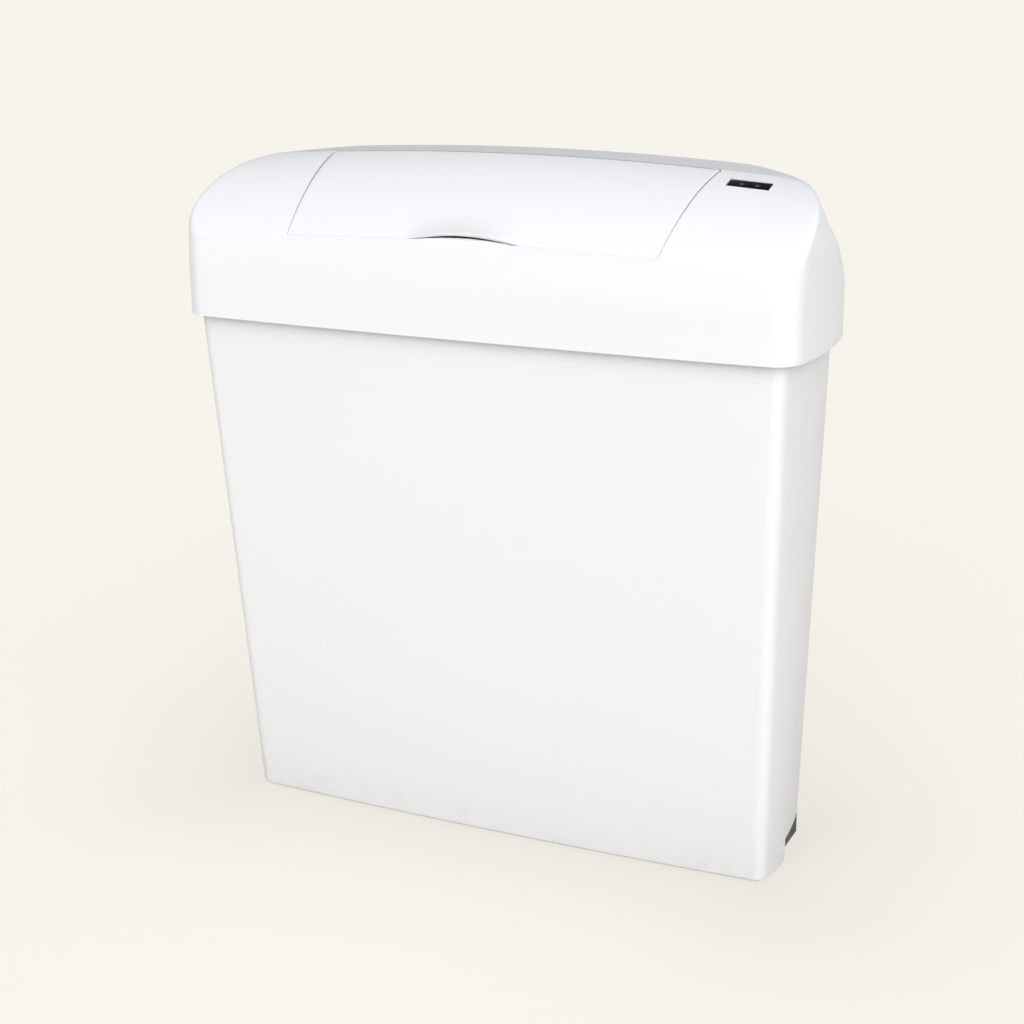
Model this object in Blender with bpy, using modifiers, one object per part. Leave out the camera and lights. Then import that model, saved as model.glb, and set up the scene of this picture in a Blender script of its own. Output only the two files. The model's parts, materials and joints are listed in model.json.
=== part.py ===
"""Powered sanitary container: a tapered bin body under a hinged hood with a motor-driven flap.

Units are metres, +Z up, front towards -Y. The origin is on the floor, at the centre of the bounding box.
"""
import math

import bmesh
import bpy
from mathutils import Matrix, Vector

# Overall sizes
overall_width = 0.480
overall_depth = 0.135
overall_height = 0.5105
half_width = overall_width / 2
half_depth = overall_depth / 2
shell_wall = 0.0025
touch_gap = 0.0003
running_gap = 0.0006
cut_overrun = 0.004

# Heights, counted from the lip of the hood or down from its top
hood_height = 0.118
tone_rise = 0.0385
crease_rise = 0.0586
shoulder_rise = 0.003
dome_drop = 0.0302
rim_overlap = 0.0115
lip_height = overall_height - hood_height
rim_height = lip_height + rim_overlap
tone_height = lip_height + tone_rise
crease_height = lip_height + crease_rise
shoulder_height = crease_height + shoulder_rise
dome_corner_height = overall_height - dome_drop

# Bin body
side_overhang = 0.0088
front_overhang = 0.0077
rear_setback = 0.0044
base_side_taper = 0.0132
base_front_taper = 0.0284
base_rear_taper = 0.0016
floor_gap = 0.001
base_chamfer = 0.0015
body_front_corner = 0.008
body_rear_corner = 0.010
front_bow = 0.0049
side_bow = 0.0077
front_corner_y = -half_depth + front_bow
notch_height = 0.020
notch_depth = 0.0359
notch_rise = 0.0003
notch_lip = 0.002
hinge_gap_end = 0.075
hinge_gap_half_length = half_width - hinge_gap_end

# Liner ring
ring_flange = 0.002
ring_flange_inset = 0.006
ring_edge_inset = 0.0006
ring_lip = 0.012
ring_lip_wall = 0.002
ring_lip_taper = 0.0006
ring_rear_inset = 0.0099
ring_flange_rear_inset = 0.007

# Hood
crease_arch = 0.0097
crease_lean = 0.002
shoulder_inset = 0.0425
shoulder_power = 2.7
slope_curve_share = 0.66
crown_fall = 0.0077
crown_power = 1.4
crest_inset = 0.041
crest_y = half_depth - crest_inset
hood_front_corner = 0.017
slope_corner = 0.004
corner_blend_share = 0.24
corner_limit_share = 0.97
hood_rear_corner = 0.020
dome_corner_x = 0.0425
dome_corner_y = 0.070
dome_power = 1.67
rear_relief_inset = 0.0125
shoulder_shares = (0.0, 0.20, 0.40, 0.56, 0.70, 0.81, 0.89, 0.945, 0.98, 0.996, 1.0)
cap_shares = (0.25, 0.50, 0.75, 0.92)

# Lugs inside the hood that carry the chassis
lug_length = 0.012
lug_depth = 0.013
lug_height = 0.008
lug_bite = 0.0012
front_lug_end = 0.140
rear_lug_end = 0.028

# Flap
flap_front_end = 0.099
flap_rear_end = 0.0885
flap_half_front = half_width - flap_front_end
flap_half_rear = half_width - flap_rear_end
seam_gap = 0.0009
front_seam_share = 0.008
rear_seam_share = 0.010
opening_slab = 0.016
flap_axis_setback = 0.0145
flap_axis_drop = 0.0185
flap_axis_y = crest_y - flap_axis_setback
flap_axis_z = overall_height - flap_axis_drop
flap_web_inset = 0.007
flap_web_thickness = 0.003
flap_web_depth = 0.009
web_low_share = 0.12
web_high_share = 0.97
web_bite_share = 0.45
pivot_boss_radius = 0.0058
scoop_half_width = 0.043
scoop_lift = 0.0045
scoop_reach_share = 0.24
scoop_forward_share = 0.3
tongue_half_width = 0.036
tongue_share = 0.030

# Hood hinge
hinge_axis_inset = 0.005
hinge_axis_drop = 0.006
hinge_axis_y = half_depth - hinge_axis_inset
hinge_axis_z = rim_height - hinge_axis_drop
knuckle_radius = 0.0042
hinge_pin_radius = 0.0015
hinge_end = 0.120
hinge_centre_x = half_width - hinge_end
hinge_knuckle_length = 0.022
hinge_end_knuckle_length = 0.011
leaf_thickness = 0.002
body_leaf_length = 0.024
hood_leaf_length = 0.026

# Chassis
chassis_thickness = 0.0025
chassis_edge_gap = 0.0012
chassis_rear_inset = 0.0063
mouth_end = 0.0965
mouth_front_inset = 0.019
mouth_rear_inset = 0.0155
chassis_rear_y = half_depth - chassis_rear_inset
chassis_low = rim_height + 2 * touch_gap + ring_flange
chassis_top = chassis_low + chassis_thickness
post_radius = 0.002
post_height = 0.006
board_post_inset = 0.004
control_board_end = 0.020
control_board_length = 0.044
control_board_front_inset = 0.0215
control_board_width = 0.050
board_thickness = 0.0016
control_board_front_y = -half_depth + control_board_front_inset
control_board_high = (half_width - control_board_end, control_board_front_y + control_board_width)
control_board_low = (control_board_high[0] - control_board_length, control_board_front_y)

# Gear train: flap sector, pinion and tray sector, all in one plane
gear_module = 0.0015
flap_gear_teeth = 32
pinion_teeth = 12
tray_gear_teeth = 28
gear_width = 0.006
gear_end = 0.081
gear_plane_x = half_width - gear_end
pressure_angle = math.radians(20)
addendum_share = 0.72
dedendum_share = 1.0
backlash_share = 0.10
flap_travel = math.radians(70)
pinion_bearing = math.radians(-65)
tray_bearing = math.radians(-60)
gear_hub_radius = 0.006
sector_hub_angle = math.radians(35)
sector_margin_teeth = 1

# Shafts and brackets
shaft_radius = 0.003
shaft_end = 0.0008
bracket_end = 0.0935
bracket_inner_x = half_width - bracket_end
bracket_thickness = 0.0035
bracket_foot_width = 0.012
bracket_foot_height = 0.003
bracket_foot_depth = 0.020
bracket_toe = 0.008
bracket_toe_reach = 0.016
neck_half = 0.006
neck_drop = 0.025
tray_seat = 0.008
seat_angle = math.radians(60)
motor_plate_end = 0.0745
motor_plate_x = half_width - motor_plate_end
motor_plate_thickness = 0.0022

# Tray
tray_end = 0.0995
tray_length = 0.092
tray_half_width = half_width - tray_end
tray_thickness = 0.0022
tray_lip = 0.008
tray_hub_radius = 0.0055
tray_pin_length = 0.012

# Gearmotor
gearbox_radius = 0.0135
gearbox_length = 0.020
shaft_socket = 0.008
motor_radius = 0.012
motor_length = 0.027
motor_cap_length = 0.003
motor_cap_radius = 0.006

# Sensor
window_end = 0.0612
window_setback = 0.018
window_x = half_width - window_end
window_y = crest_y - window_setback
window_length = 0.030
window_width = 0.0105
window_depth = 0.0030
window_sink = 0.0002
window_hole_rise = 0.001
window_step_share = 0.001
sensor_board_length = 0.028
sensor_board_width = 0.018
led_radius = 0.0025
led_spacing = 0.011
led_height = 0.0035

# Battery box and its door
battery_end = 0.048
battery_x = -half_width + battery_end
battery_y = 0.0
cell_radius = 0.0131
cell_length = 0.050
cell_cap_radius = 0.004
cell_cap_length = 0.0015
cell_gap = 0.0006
box_wall = 0.002
contact_thickness = 0.0006
door_thickness = 0.002
door_pin_radius = 0.001
door_knuckle_radius = 0.0022
door_overlap = 0.0015
door_knuckle_length = 0.009
door_knuckle_y = 0.015
door_lug_y = 0.0255
door_lug_length = 0.005
cell_bottom = chassis_low + touch_gap
inner_cells = 4 * cell_radius + 3 * cell_gap
inner_length = cell_length + cell_cap_length + 2 * contact_thickness + 4 * touch_gap
battery_low_x = battery_x - inner_length / 2
battery_high_x = battery_x + inner_length / 2
door_axis_x = battery_high_x + box_wall + door_knuckle_radius + running_gap
door_axis_z = chassis_low - touch_gap - door_knuckle_radius

# Switch
switch_end = 0.040
switch_x = -half_width + switch_end
battery_front_y = battery_y - inner_cells / 2 - box_wall
chassis_front_y = front_corner_y + shell_wall + chassis_edge_gap
switch_y = (battery_front_y + chassis_front_y) / 2
switch_travel = 0.004
switch_height = 0.007
knob_length = 0.005
knob_width = 0.0034
knob_drop = 0.003

# Odour cartridge
cartridge_end = 0.028
cartridge_length = 0.044
cartridge_half_front = 0.032
cartridge_half_rear = 0.030
cartridge_depth = 0.013
cartridge_high = (half_width - cartridge_end, cartridge_half_rear)
cartridge_low = (cartridge_high[0] - cartridge_length, -cartridge_half_front)
slot_width = 0.003
slot_count = 6
slot_depth_share = 0.4
slot_length_share = 0.75

# Cable from the battery box, along the rear of the chassis, to the control board
cable_radius = 0.0014
cable_exit_rise = 0.0129
cable_exit_shift = 0.014
cable_left_bend = 0.015
cable_right_bend = 0.0235
cable_lane_inset = 0.004
cable_lane_lift = 0.0004
cable_board_shift = 0.0265
cable_board_lift = 0.0072
cable_left_shares = ((0, 0, 0), (0, 0.19, 0), (0, 0.40, 0.14), (0.1, 0.65, 0.50), (0.4, 0.85, 0.86),
                     (1, 0.975, 1))
cable_lane_shares = (-0.5, -0.17, 0.17, 0.5)
cable_right_shares = ((1, 0.975, 0), (0.40, 0.93, 0), (0.11, 0.75, 0.06), (0.02, 0.54, 0.30), (0, 0.29, 0.76),
                      (0, 0.12, 0.96), (0, 0, 1))

# Feet
foot_length = 0.040
foot_inset_x = 0.010
foot_radius = 0.003
pad_radius = 0.008
pad_thickness = 0.0024
pad_end = 0.060
pad_front_inset = 0.0595
pad_spacing_x = half_width - pad_end
pad_y = -half_depth + pad_front_inset

# Small hardware
screw_radius = 0.0016
screw_head_radius = 0.003
screw_head_height = 0.0016
screw_length = 0.007

# Resolution
weld_distance = 0.00001
smooth_angle = math.radians(35)
shell_smooth_angle = math.radians(24)
front_steps = 16
side_steps = 4
rear_steps = 6
ring_corner_steps = 4
round_steps = 20
screw_steps = 12
flap_row_shares = (0.0, 0.05, 0.10, 0.17, 0.25, 0.36, 0.48, 0.60, 0.72, 0.83, 0.92, 1.0)
flap_columns = 36
relief_steps = 16
relief_round_steps = 48
web_steps = 10
tooth_steps = 2
hub_steps = 8
neck_steps = 6
seat_steps = 3
cable_samples = 3


def clear_scene():
    for item in list(bpy.data.objects):
        bpy.data.objects.remove(item, do_unlink=True)


clear_scene()
container = bpy.data.collections.new("sanitary_container")
cutters = bpy.data.collections.new("cutters")
bpy.context.scene.collection.children.link(container)
bpy.context.scene.collection.children.link(cutters)


def make_material(name, colour, roughness, metallic=0.0):
    material = bpy.data.materials.new(name)
    material.use_nodes = True
    shader = material.node_tree.nodes["Principled BSDF"]
    shader.inputs["Base Color"].default_value = (*colour, 1.0)
    shader.inputs["Roughness"].default_value = roughness
    shader.inputs["Metallic"].default_value = metallic
    material.diffuse_color = (*colour, 1.0)
    return material


body_white = make_material("body_white", (0.86, 0.86, 0.85), 0.45)
hood_white = make_material("hood_white", (0.90, 0.91, 0.92), 0.35)
inner_grey = make_material("inner_grey", (0.55, 0.56, 0.57), 0.55)
dark_rubber = make_material("dark_rubber", (0.10, 0.10, 0.09), 0.85)
window_black = make_material("window_black", (0.01, 0.01, 0.012), 0.08)
steel = make_material("steel", (0.62, 0.62, 0.60), 0.30, 1.0)
gear_white = make_material("gear_white", (0.80, 0.79, 0.74), 0.40)
board_green = make_material("board_green", (0.02, 0.16, 0.07), 0.45)
cell_black = make_material("cell_black", (0.05, 0.05, 0.06), 0.35)
cable_black = make_material("cable_black", (0.03, 0.03, 0.03), 0.55)
lens_smoke = make_material("lens_smoke", (0.05, 0.02, 0.05), 0.10)


def make_joint_empty(name, place):
    empty = bpy.data.objects.new(name, None)
    empty.empty_display_size = shaft_radius
    empty.location = place
    container.objects.link(empty)
    return empty


hood_joint = make_joint_empty("hood_joint", (0, hinge_axis_y, hinge_axis_z))


def carry(item, empty):
    """Parent an item to a joint's empty and leave it where it is."""
    item.parent = empty
    item.matrix_parent_inverse = Matrix.Translation(-empty.location)


def make_child_joint(name, place, parent):
    empty = make_joint_empty(name, place)
    carry(empty, parent)
    return empty


def add_object(name, data, material, group=container):
    item = bpy.data.objects.new(name, data)
    group.objects.link(item)
    if material is not None:
        data.materials.append(material)
    if group is cutters:
        item.hide_render = True
        item.display_type = "WIRE"
    return item


def shade_round(mesh, angle=smooth_angle):
    mesh.shade_smooth()
    mesh.set_sharp_from_angle(angle=angle)


def add_box(name, size, centre, material, group=container, bevel=0.0):
    mesh = bpy.data.meshes.new(name)
    shape = bmesh.new()
    bmesh.ops.create_cube(shape, size=1.0)
    bmesh.ops.scale(shape, vec=size, verts=shape.verts)
    shape.to_mesh(mesh)
    shape.free()
    item = add_object(name, mesh, material, group)
    item.location = centre
    if bevel > 0:
        rounding = item.modifiers.new("rounded_edges", "BEVEL")
        rounding.width = bevel
        rounding.segments = 2
        rounding.limit_method = "ANGLE"
    return item


def span_box(name, low, high, material, group=container, bevel=0.0):
    size = [top - bottom for bottom, top in zip(low, high)]
    centre = [(top + bottom) / 2 for bottom, top in zip(low, high)]
    return add_box(name, size, centre, material, group, bevel)


def add_rod(name, radius, length, centre, axis, material, group=container, steps=round_steps):
    mesh = bpy.data.meshes.new(name)
    shape = bmesh.new()
    bmesh.ops.create_cone(shape, cap_ends=True, segments=steps, radius1=radius, radius2=radius, depth=length)
    shape.to_mesh(mesh)
    shape.free()
    shade_round(mesh)
    item = add_object(name, mesh, material, group)
    item.location = centre
    turns = {"X": (0, math.pi / 2, 0), "Y": (math.pi / 2, 0, 0), "Z": (0, 0, 0)}
    item.rotation_euler = turns[axis]
    return item


def add_turned(name, profile, centre, turn, material, group=container, steps=round_steps):
    """Turn (radius, height) points, listed from the top down, about the object's Z axis."""
    mesh = bpy.data.meshes.new(name)
    mesh.from_pydata([(radius, 0, height) for radius, height in profile],
                     [(index, index + 1) for index in range(len(profile) - 1)], [])
    item = add_object(name, mesh, material, group)
    item.location = centre
    item.rotation_euler = turn
    screw = item.modifiers.new("turned", "SCREW")
    screw.steps = steps
    screw.render_steps = steps
    screw.use_merge_vertices = True
    screw.merge_threshold = weld_distance
    screw.use_smooth_shade = True
    return item


def boolean(item, cutter, operation="DIFFERENCE", solver="EXACT"):
    change = item.modifiers.new(cutter.name, "BOOLEAN")
    change.operation = operation
    change.solver = solver
    change.object = cutter


def as_mesh(item):
    """Replace an item's data by the mesh that its modifiers or curve give."""
    bpy.context.view_layer.update()
    evaluated = item.evaluated_get(bpy.context.evaluated_depsgraph_get())
    mesh = bpy.data.meshes.new_from_object(evaluated)
    shape = bmesh.new()
    shape.from_mesh(mesh)
    bmesh.ops.remove_doubles(shape, verts=shape.verts, dist=weld_distance)
    shape.to_mesh(mesh)
    shape.free()
    name, matrix, group = item.name, item.matrix_world.copy(), item.users_collection[0]
    material = item.data.materials[0] if item.data.materials else None
    bpy.data.objects.remove(item, do_unlink=True)
    fresh = bpy.data.objects.new(name, mesh)
    group.objects.link(fresh)
    fresh.matrix_world = matrix
    if material is not None and not mesh.materials:
        mesh.materials.append(material)
    if group is cutters:
        fresh.hide_render = True
        fresh.display_type = "WIRE"
    return fresh


def add_plate(name, loops, thickness, centre_x, material, group=container):
    """A flat plate in the YZ plane from closed (y, z) loops; inner loops are holes."""
    curve = bpy.data.curves.new(name, "CURVE")
    curve.dimensions = "2D"
    curve.fill_mode = "BOTH"
    curve.extrude = thickness / 2
    for loop in loops:
        spline = curve.splines.new("POLY")
        spline.points.add(len(loop) - 1)
        for point, (y, z) in zip(spline.points, loop):
            point.co = (y, z, 0, 1)
        spline.use_cyclic_u = True
    item = add_object(name, curve, material, group)
    item.matrix_world = Matrix.Translation((centre_x, 0, 0)) @ Matrix(
        ((0, 0, 1, 0), (1, 0, 0, 0), (0, 1, 0, 0), (0, 0, 0, 1)))
    return as_mesh(item)


def add_layer(name, loops, thickness, bottom_z, material, group=container):
    """A flat plate in the XY plane from closed (x, y) loops; inner loops are holes."""
    curve = bpy.data.curves.new(name, "CURVE")
    curve.dimensions = "2D"
    curve.fill_mode = "BOTH"
    curve.extrude = thickness / 2
    for loop in loops:
        spline = curve.splines.new("POLY")
        spline.points.add(len(loop) - 1)
        for point, (x, y) in zip(spline.points, loop):
            point.co = (x, y, 0, 1)
        spline.use_cyclic_u = True
    item = add_object(name, curve, material, group)
    item.location = (0, 0, bottom_z + thickness / 2)
    return as_mesh(item)


def circle_loop(centre, radius, steps=round_steps, start=0.0):
    return [(centre[0] + radius * math.cos(start + 2 * math.pi * step / steps),
             centre[1] + radius * math.sin(start + 2 * math.pi * step / steps)) for step in range(steps)]


def box_loop(low, high):
    return [(low[0], low[1]), (high[0], low[1]), (high[0], high[1]), (low[0], high[1])]


def add_loft(name, rings, material, cap_bottom=False, cap_top=False, group=container):
    count = len(rings[0])
    points = [point for ring in rings for point in ring]
    faces = []
    for level in range(len(rings) - 1):
        for index in range(count):
            following = (index + 1) % count
            faces.append((level * count + index, level * count + following,
                          (level + 1) * count + following, (level + 1) * count + index))
    if cap_bottom:
        faces.append(tuple(reversed(range(count))))
    if cap_top:
        faces.append(tuple((len(rings) - 1) * count + index for index in range(count)))
    mesh = bpy.data.meshes.new(name)
    mesh.from_pydata(points, [], faces)
    shade_round(mesh, shell_smooth_angle)
    return add_object(name, mesh, material, group)


def thicken(item, wall, offset=-1.0):
    solid = item.modifiers.new("wall", "SOLIDIFY")
    solid.thickness = wall
    solid.offset = offset
    solid.use_even_offset = True
    return solid


def plan_ring(width, front, rear, height, front_corner, rear_corner, bow, arch=0.0, power=1.0):
    """One level of a shell: a rounded rectangle whose front and ends are bowed outwards."""
    corner_x, corner_y = rear_corner
    quarter = [math.pi / 2 * step / ring_corner_steps for step in range(ring_corner_steps + 1)]
    points = []
    for angle in quarter:
        points.append((-width + front_corner * (1 - math.cos(angle)),
                       front + front_corner * (1 - math.sin(angle))))
    flat = width - front_corner
    for step in range(1, front_steps):
        points.append((-flat + 2 * flat * step / front_steps, front))
    for angle in quarter:
        points.append((flat + front_corner * math.sin(angle), front + front_corner * (1 - math.cos(angle))))
    low, high = front + front_corner, rear - corner_y
    for step in range(1, side_steps):
        points.append((width, low + (high - low) * step / side_steps))
    round_off = [(1 - abs(math.cos(angle)) ** power, 1 - math.sin(angle) ** power) for angle in quarter]
    points += [(width - corner_x * across, rear - corner_y * along) for across, along in round_off]
    flat = width - corner_x
    for step in range(1, rear_steps):
        points.append((flat - 2 * flat * step / rear_steps, rear))
    points += [(corner_x * across - width, rear - corner_y * along) for across, along in reversed(round_off)]
    for step in range(1, side_steps):
        points.append((-width, high + (low - high) * step / side_steps))
    middle = (front + rear) / 2
    ring = []
    for x, y in points:
        near = min(max((middle - y) / (middle - front), 0), 1)
        bulge = (1 - (x / width) ** 2) * near
        share = abs(x) / width
        drawn_in = side_bow * (y / half_depth) ** 2 * share ** 4
        ring.append((x - math.copysign(drawn_in, x), y - bow * bulge, height + arch * bulge))
    return ring


# Hood surface

def hood_half_width(height):
    if height <= shoulder_height:
        return half_width
    rise = min((height - shoulder_height) / (overall_height - shoulder_height), 1)
    return half_width - shoulder_inset * (1 - (1 - rise ** shoulder_power) ** (1 / shoulder_power))


def slope_rise(height):
    return min(max((height - crease_height) / (overall_height - crease_height), 0), 1)


def crown(x, height):
    """Height left of a level once the crown has lowered it towards the ends."""
    return height - crown_fall * (x / (half_width - shoulder_inset)) ** 2 * slope_rise(height) ** crown_power


def slope_share(height):
    """How far up the slope a level lies: 0 at the crease, 1 at the crest."""
    rise = slope_rise(height)
    curve = slope_curve_share
    return ((1 + curve) - math.sqrt((1 + curve) ** 2 - 4 * curve * rise)) / (2 * curve)


def slope_point(share):
    """Front (y, z) at the ends for a share of the way up the slope."""
    curve = slope_curve_share
    height = crease_height + (overall_height - crease_height) * ((1 + curve) * share - curve * share ** 2)
    crease_y = front_corner_y + crease_lean
    return crease_y + (crest_y - crease_y) * share, height


def hood_ring(height, inset=0.0):
    """One level of the hood; an inset share draws it towards the middle line, to close the top."""
    width = hood_half_width(height)
    share = slope_share(height)
    if height <= tone_height:
        front, arch, corner = front_corner_y, 0.0, hood_front_corner
    elif height < crease_height:
        rise = (height - tone_height) / (crease_height - tone_height)
        front, arch, corner = front_corner_y + crease_lean * rise, crease_arch * rise, hood_front_corner
    else:
        front = slope_point(share)[0]
        arch = crease_arch * (1 - share) ** 2
        blend = max(1 - share / corner_blend_share, 0) ** 2
        corner = slope_corner + (hood_front_corner - slope_corner) * blend
    dome = min(max((height - tone_height) / (dome_corner_height - tone_height), 0), 1)
    corner_x = hood_rear_corner + (dome_corner_x - hood_rear_corner) * dome
    corner_y = hood_rear_corner + (dome_corner_y - hood_rear_corner) * dome
    corner_x = min(corner_x, width * corner_limit_share)
    corner_y = min(corner_y, (half_depth - front - corner) * corner_limit_share)
    ring = plan_ring(width, front, half_depth, height, corner, (corner_x, corner_y),
                     front_bow * (1 - share), arch, 1 + (dome_power - 1) * dome)
    middle = (front + half_depth) / 2
    lowered = [(x, y, z + crown(x, height) - height) for x, y, z in ring]
    if inset > 0:
        drawn = [(x * (1 - inset), y + (middle - y) * inset) for x, y, z in lowered]
        lowered = [(x, y, crown(x, height)) for x, y in drawn]
    return lowered


hood_heights = [lip_height, tone_height, (tone_height + crease_height) / 2, crease_height]
hood_heights += [shoulder_height + (overall_height - shoulder_height) * share for share in shoulder_shares]


def flap_patch(side_extra, front_extra, rear_extra, lift, tongue=0.0):
    """Points on the hood's slope that the flap covers, in rows from the crease to the crest."""
    rows = []
    for rise in flap_row_shares:
        row = []
        for column in range(flap_columns + 1):
            across = -1 + 2 * column / flap_columns
            span = flap_half_front + (flap_half_rear - flap_half_front) * rise + side_extra
            x = across * span
            front = front_extra + tongue * max(1 - (x / tongue_half_width) ** 2, 0)
            share = front + (1 + rear_extra - front) * rise
            y, level = slope_point(share)
            bulge = 1 - (x / hood_half_width(level)) ** 2
            y -= front_bow * (1 - share) * bulge
            height = crown(x, level) + crease_arch * (1 - share) ** 2 * bulge
            if lift > 0 and abs(x) < scoop_half_width and rise < scoop_reach_share:
                raised = lift * (1 - (x / scoop_half_width) ** 2) * (1 - rise / scoop_reach_share) ** 2
                height += raised
                y -= raised * scoop_forward_share
            row.append((x, y, height))
        rows.append(row)
    return rows


def add_patch(name, rows, material, group=container):
    count = len(rows[0])
    points = [point for row in rows for point in row]
    faces = []
    for level in range(len(rows) - 1):
        for index in range(count - 1):
            start = level * count + index
            faces.append((start, start + 1, start + count + 1, start + count))
    mesh = bpy.data.meshes.new(name)
    mesh.from_pydata(points, [], faces)
    shade_round(mesh, shell_smooth_angle)
    return add_object(name, mesh, material, group)


# Bin body

def body_ring(height, inset=0.0, rear=None):
    low = 1 - height / lip_height
    width = half_width - side_overhang - base_side_taper * low - inset
    front = front_corner_y + front_overhang + base_front_taper * low + inset
    if rear is None:
        rear = half_depth - rear_setback + base_rear_taper * low - inset
    corner = max(body_front_corner - inset, slope_corner)
    rear_corner = max(body_rear_corner - inset, slope_corner)
    return plan_ring(width, front, rear, height, corner, (rear_corner, rear_corner), front_bow)


def make_bin_body():
    base_rear = half_depth - rear_setback + base_rear_taper
    notch_rear = base_rear - notch_depth
    shelf = notch_height + notch_rise
    rings = [
        body_ring(floor_gap, base_chamfer, notch_rear - base_chamfer),
        body_ring(floor_gap + base_chamfer, 0.0, notch_rear),
        body_ring(notch_height, 0.0, notch_rear),
        body_ring(shelf, 0.0, base_rear - notch_lip),
        body_ring(shelf + notch_lip),
        body_ring(lip_height),
        body_ring(rim_height),
    ]
    body = add_loft("bin_body", rings, body_white, cap_bottom=True)
    thicken(body, shell_wall)
    inner_rear = half_depth - rear_setback - shell_wall
    gap = span_box("hinge_gap_cutter", (-hinge_gap_half_length, inner_rear - leaf_thickness, lip_height),
                   (hinge_gap_half_length, half_depth + cut_overrun, rim_height + cut_overrun), None, cutters)
    boolean(body, gap)
    for side in (-1, 1):
        pocket = add_rod(f"pad_pocket_cutter_{side}", pad_radius + touch_gap, 2 * (pad_thickness + touch_gap),
                         (side * pad_spacing_x, pad_y, 0), "Z", None, cutters)
        boolean(body, pocket)
    return body


def make_feet():
    low = notch_height - touch_gap
    front = half_depth - rear_setback + base_rear_taper - notch_depth + touch_gap
    rear = half_depth - rear_setback + base_rear_taper - touch_gap
    outer = half_width - side_overhang - base_side_taper - foot_inset_x
    for name, side in (("rear_foot_left", -1), ("rear_foot_right", 1)):
        ends = sorted((side * outer, side * (outer - foot_length)))
        span_box(name, (ends[0], front, 0), (ends[1], rear, low), dark_rubber, bevel=foot_radius)
    template = add_rod("pad_template", pad_radius, pad_thickness, (0, 0, pad_thickness / 2), "Z", dark_rubber)
    add_copies(("front_pad_left", "front_pad_right"), template,
               [Matrix.Translation((side * pad_spacing_x, pad_y, pad_thickness / 2)) for side in (-1, 1)])


def add_copies(names, template, places, empty=None):
    """One object at each place, all with the template's mesh."""
    solid = as_mesh(template)
    shade_round(solid.data)
    for name, place in zip(names, places):
        item = bpy.data.objects.new(name, solid.data)
        container.objects.link(item)
        item.matrix_world = place
        if empty is not None:
            carry(item, empty)
    bpy.data.objects.remove(solid, do_unlink=True)


def make_liner_ring():
    bottom = rim_height + touch_gap
    top = bottom + ring_flange
    lip_inset = shell_wall + running_gap
    low = rim_height - ring_lip
    ring_rear_y = half_depth - ring_rear_inset
    rings = [
        body_ring(bottom, ring_edge_inset, half_depth - ring_flange_rear_inset),
        body_ring(top, ring_edge_inset, half_depth - ring_flange_rear_inset),
        body_ring(top, ring_flange_inset, ring_rear_y - ring_lip_wall),
        body_ring(low, ring_flange_inset, ring_rear_y - ring_lip_wall),
        body_ring(low, lip_inset + ring_lip_taper, ring_rear_y),
        body_ring(bottom, lip_inset + ring_lip_taper, ring_rear_y),
    ]
    count = len(rings[0])
    faces = []
    for level in range(len(rings)):
        following_level = (level + 1) % len(rings)
        for index in range(count):
            following = (index + 1) % count
            faces.append((level * count + index, level * count + following,
                          following_level * count + following, following_level * count + index))
    mesh = bpy.data.meshes.new("liner_ring")
    mesh.from_pydata([point for ring in rings for point in ring], [], faces)
    shade_round(mesh, shell_smooth_angle)
    return add_object("liner_ring", mesh, inner_grey)


make_bin_body()
make_feet()
make_liner_ring()


# Hood hinges

def make_hinges():
    inner_rear = half_depth - rear_setback - shell_wall
    hood_inner_rear = half_depth - shell_wall
    centre_half = hinge_knuckle_length / 2
    end_centre = centre_half + running_gap + hinge_end_knuckle_length / 2
    reach = end_centre + hinge_end_knuckle_length / 2
    for name, side in (("left", -1), ("right", 1)):
        x = side * hinge_centre_x
        leaf = span_box(f"hinge_body_leaf_{name}",
                        (x - reach, inner_rear - touch_gap - leaf_thickness, hinge_axis_z - body_leaf_length),
                        (x + reach, inner_rear - touch_gap, hinge_axis_z), steel)
        barrel = add_rod(f"body_barrel_{name}", knuckle_radius, 2 * reach, (x, hinge_axis_y, hinge_axis_z),
                         "X", None, cutters)
        boolean(leaf, barrel, "UNION")
        slot_half = centre_half + running_gap
        slot = span_box(f"centre_slot_{name}",
                        (x - slot_half, inner_rear - leaf_thickness - cut_overrun,
                         hinge_axis_z - knuckle_radius - running_gap),
                        (x + slot_half, half_depth + cut_overrun, hinge_axis_z + knuckle_radius + cut_overrun),
                        None, cutters)
        boolean(leaf, slot)
        bore = add_rod(f"body_leaf_bore_{name}", hinge_pin_radius + touch_gap, 2 * reach + cut_overrun,
                       (x, hinge_axis_y, hinge_axis_z), "X", None, cutters)
        boolean(leaf, bore)
        strap = span_box(f"hinge_hood_leaf_{name}",
                         (x - centre_half, hood_inner_rear - touch_gap - leaf_thickness, hinge_axis_z),
                         (x + centre_half, hood_inner_rear - touch_gap, hinge_axis_z + hood_leaf_length), steel)
        knuckle = add_rod(f"hood_barrel_{name}", knuckle_radius, hinge_knuckle_length,
                          (x, hinge_axis_y, hinge_axis_z), "X", None, cutters)
        boolean(strap, knuckle, "UNION")
        boolean(strap, bore)
        carry(strap, hood_joint)
        add_rod(f"hinge_pin_{name}", hinge_pin_radius, 2 * reach, (x, hinge_axis_y, hinge_axis_z), "X", steel)


# Small hardware

def screw_profile(extra, overrun):
    """A flat-head screw's (radius, height) points, its head flush with height 0, grown by extra."""
    head = screw_head_radius + extra
    return [(0, screw_length + extra), (screw_radius + extra, screw_length + extra),
            (screw_radius + extra, screw_head_height + extra), (head, extra), (head, -overrun), (0, -overrun)]


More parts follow.
